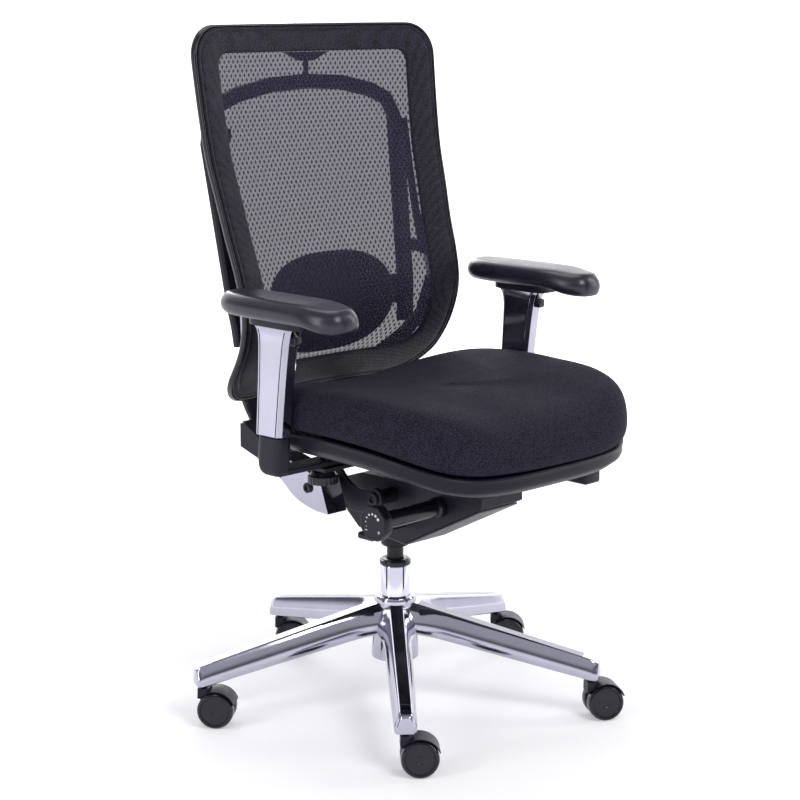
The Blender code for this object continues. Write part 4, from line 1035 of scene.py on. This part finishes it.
# Each light's name, place, target, size, power in watts and tint.
LIGHTS = (("key", (-0.6, -3.2, 3.2), (0, 0, 0.5), (1.6, 1.2), 52.0, WHITE),
          ("left", (-3.4, 0.4, 1.6), (0, 0, 0.6), (0.5, 2.4), 26.0, (0.97, 0.97, 1.0)),
          ("right", (2.8, -1.8, 1.8), (0, 0, 0.5), (0.5, 2.2), 22.0, WHITE),
          ("top", (0.3, 0.6, 3.6), (0, 0, 0.5), (2.0, 2.0), 30.0, WHITE),
          ("rear", (1.6, 3.0, 2.2), (0, 0, 0.7), (1.6, 1.0), 30.0, WHITE))


def build_floor():
    """Pale paper that sweeps up behind the chair and glows more away from it."""
    sweep = [(SWEEP_START + SWEEP_RADIUS * sin(radians(a)),
              SWEEP_RADIUS * (1.0 - cos(radians(a)))) for a in range(6, 91, 6)]
    profile = [(-FLOOR_REACH, 0.0), (SWEEP_START, 0.0), *sweep, (SWEEP_START + SWEEP_RADIUS, SWEEP_TOP)]
    floor = loft([[(x, y, h) for x, h in box(-FLOOR_REACH, FLOOR_REACH, z, z - 0.01)] for y, z in profile])
    floor.transform(Matrix.Rotation(CAMERA_HEADING, 4, "Z"))
    paper = surface("floor_look", (0.86, 0.86, 0.87), (0.6, 0.7), 0.0, 0.01, 2.0,
                    uniform=specular(0.1, Emission_Color=(1.0, 1.0, 1.0, 1.0)))
    tree = paper.node_tree
    reach = node_of(tree, "ShaderNodeVectorMath", operation="LENGTH")
    tree.links.new(mapped(tree, WHITE), reach.inputs["Vector"])
    glow = remapped(tree, reach.outputs["Value"], GLOW_FROM_TO, (FLOOR_GLOW, FAR_GLOW))
    tree.links.new(glow, tree.nodes["Principled BSDF"].inputs["Emission Strength"])
    floor.materials.append(paper)
    floor.shade_smooth()
    in_scene("floor", floor)


def build_cards():
    """Dark cards to either side of the camera, which give the polished parts their dark bands."""
    for number, heading in enumerate(CARD_HEADINGS, start=1):
        angle = radians(heading)
        out = Vector((cos(angle), sin(angle), 0.0))
        side = Vector((-out.y, out.x, 0.0)) * CARD_WIDTH / 2
        corners = [out * (CARD_REACH + back) + side * way
                   for back, way in ((0.0, -1), (0.0, 1), (0.02, 1), (0.02, -1))]
        card = loft([[(c.x, c.y, z) for c in corners] for z in (0.0, CARD_HEIGHT)])
        card.materials.append(surface(f"dark_card_look_{number}", (0.07, 0.07, 0.08), (0.8, 0.9), 0.0, 0.12,
                                      40.0, uniform=specular(0.0)))
        flag = in_scene(f"dark_card_{number}", card)
        flag.visible_camera = flag.visible_shadow = False


def build_sky():
    """A studio sky that is white low down, with a dark band over it and grey above."""
    world = bpy.data.worlds.new("studio")
    bpy.context.scene.world = world
    world.use_nodes = True
    tree = world.node_tree
    place = tree.nodes.new("ShaderNodeTexCoord")
    split = tree.nodes.new("ShaderNodeSeparateXYZ")
    tree.links.new(place.outputs["Generated"], split.inputs["Vector"])
    ramp = tree.nodes.new("ShaderNodeValToRGB")
    lowest, highest = ramp.color_ramp.elements
    lowest.position, lowest.color = 0.0, (1.0, 1.0, 1.04, 1.0)
    highest.position, highest.color = 1.0, (0.2, 0.2, 0.22, 1.0)
    for position, value in SKY:
        ramp.color_ramp.elements.new(position).color = (value, value, value * 1.06, 1.0)
    tree.links.new(remapped(tree, split.outputs["Z"], (-1.0, 1.0), (0.0, 1.0)), ramp.inputs["Fac"])
    sky = tree.nodes["Background"]
    tree.links.new(ramp.outputs["Color"], sky.inputs["Color"])
    sky.inputs["Strength"].default_value = 1.0


def build_lights():
    """Soft rectangular lights, each turned to its target."""
    for name, place, target, size, power, tint in LIGHTS:
        light = bpy.data.lights.new(name, "AREA")
        light.shape = "RECTANGLE"
        light.size, light.size_y = size
        light.energy = power
        light.color = tint
        obj = in_scene(name, light)
        obj.location = place
        obj.rotation_euler = (Vector(target) - Vector(place)).to_track_quat("-Z", "Y").to_euler()


def build_camera():
    """The camera in front of the chair, to the sitter's right, at a seated eye's height."""
    camera = bpy.data.cameras.new("camera")
    camera.lens = CAMERA_LENS
    camera.sensor_width = 36.0
    camera.shift_x = CAMERA_SHIFT
    obj = in_scene("camera", camera)
    obj.location = (OFFSET.x + CAMERA_DISTANCE * sin(CAMERA_HEADING),
                    -CAMERA_DISTANCE * cos(CAMERA_HEADING), CAMERA_HEIGHT)
    obj.rotation_euler = (radians(90.0) - CAMERA_PITCH, 0.0, CAMERA_HEADING)
    bpy.context.scene.camera = obj
    bpy.context.scene.view_settings.view_transform = "Standard"


build_floor()
build_cards()
build_sky()
build_lights()
build_camera()
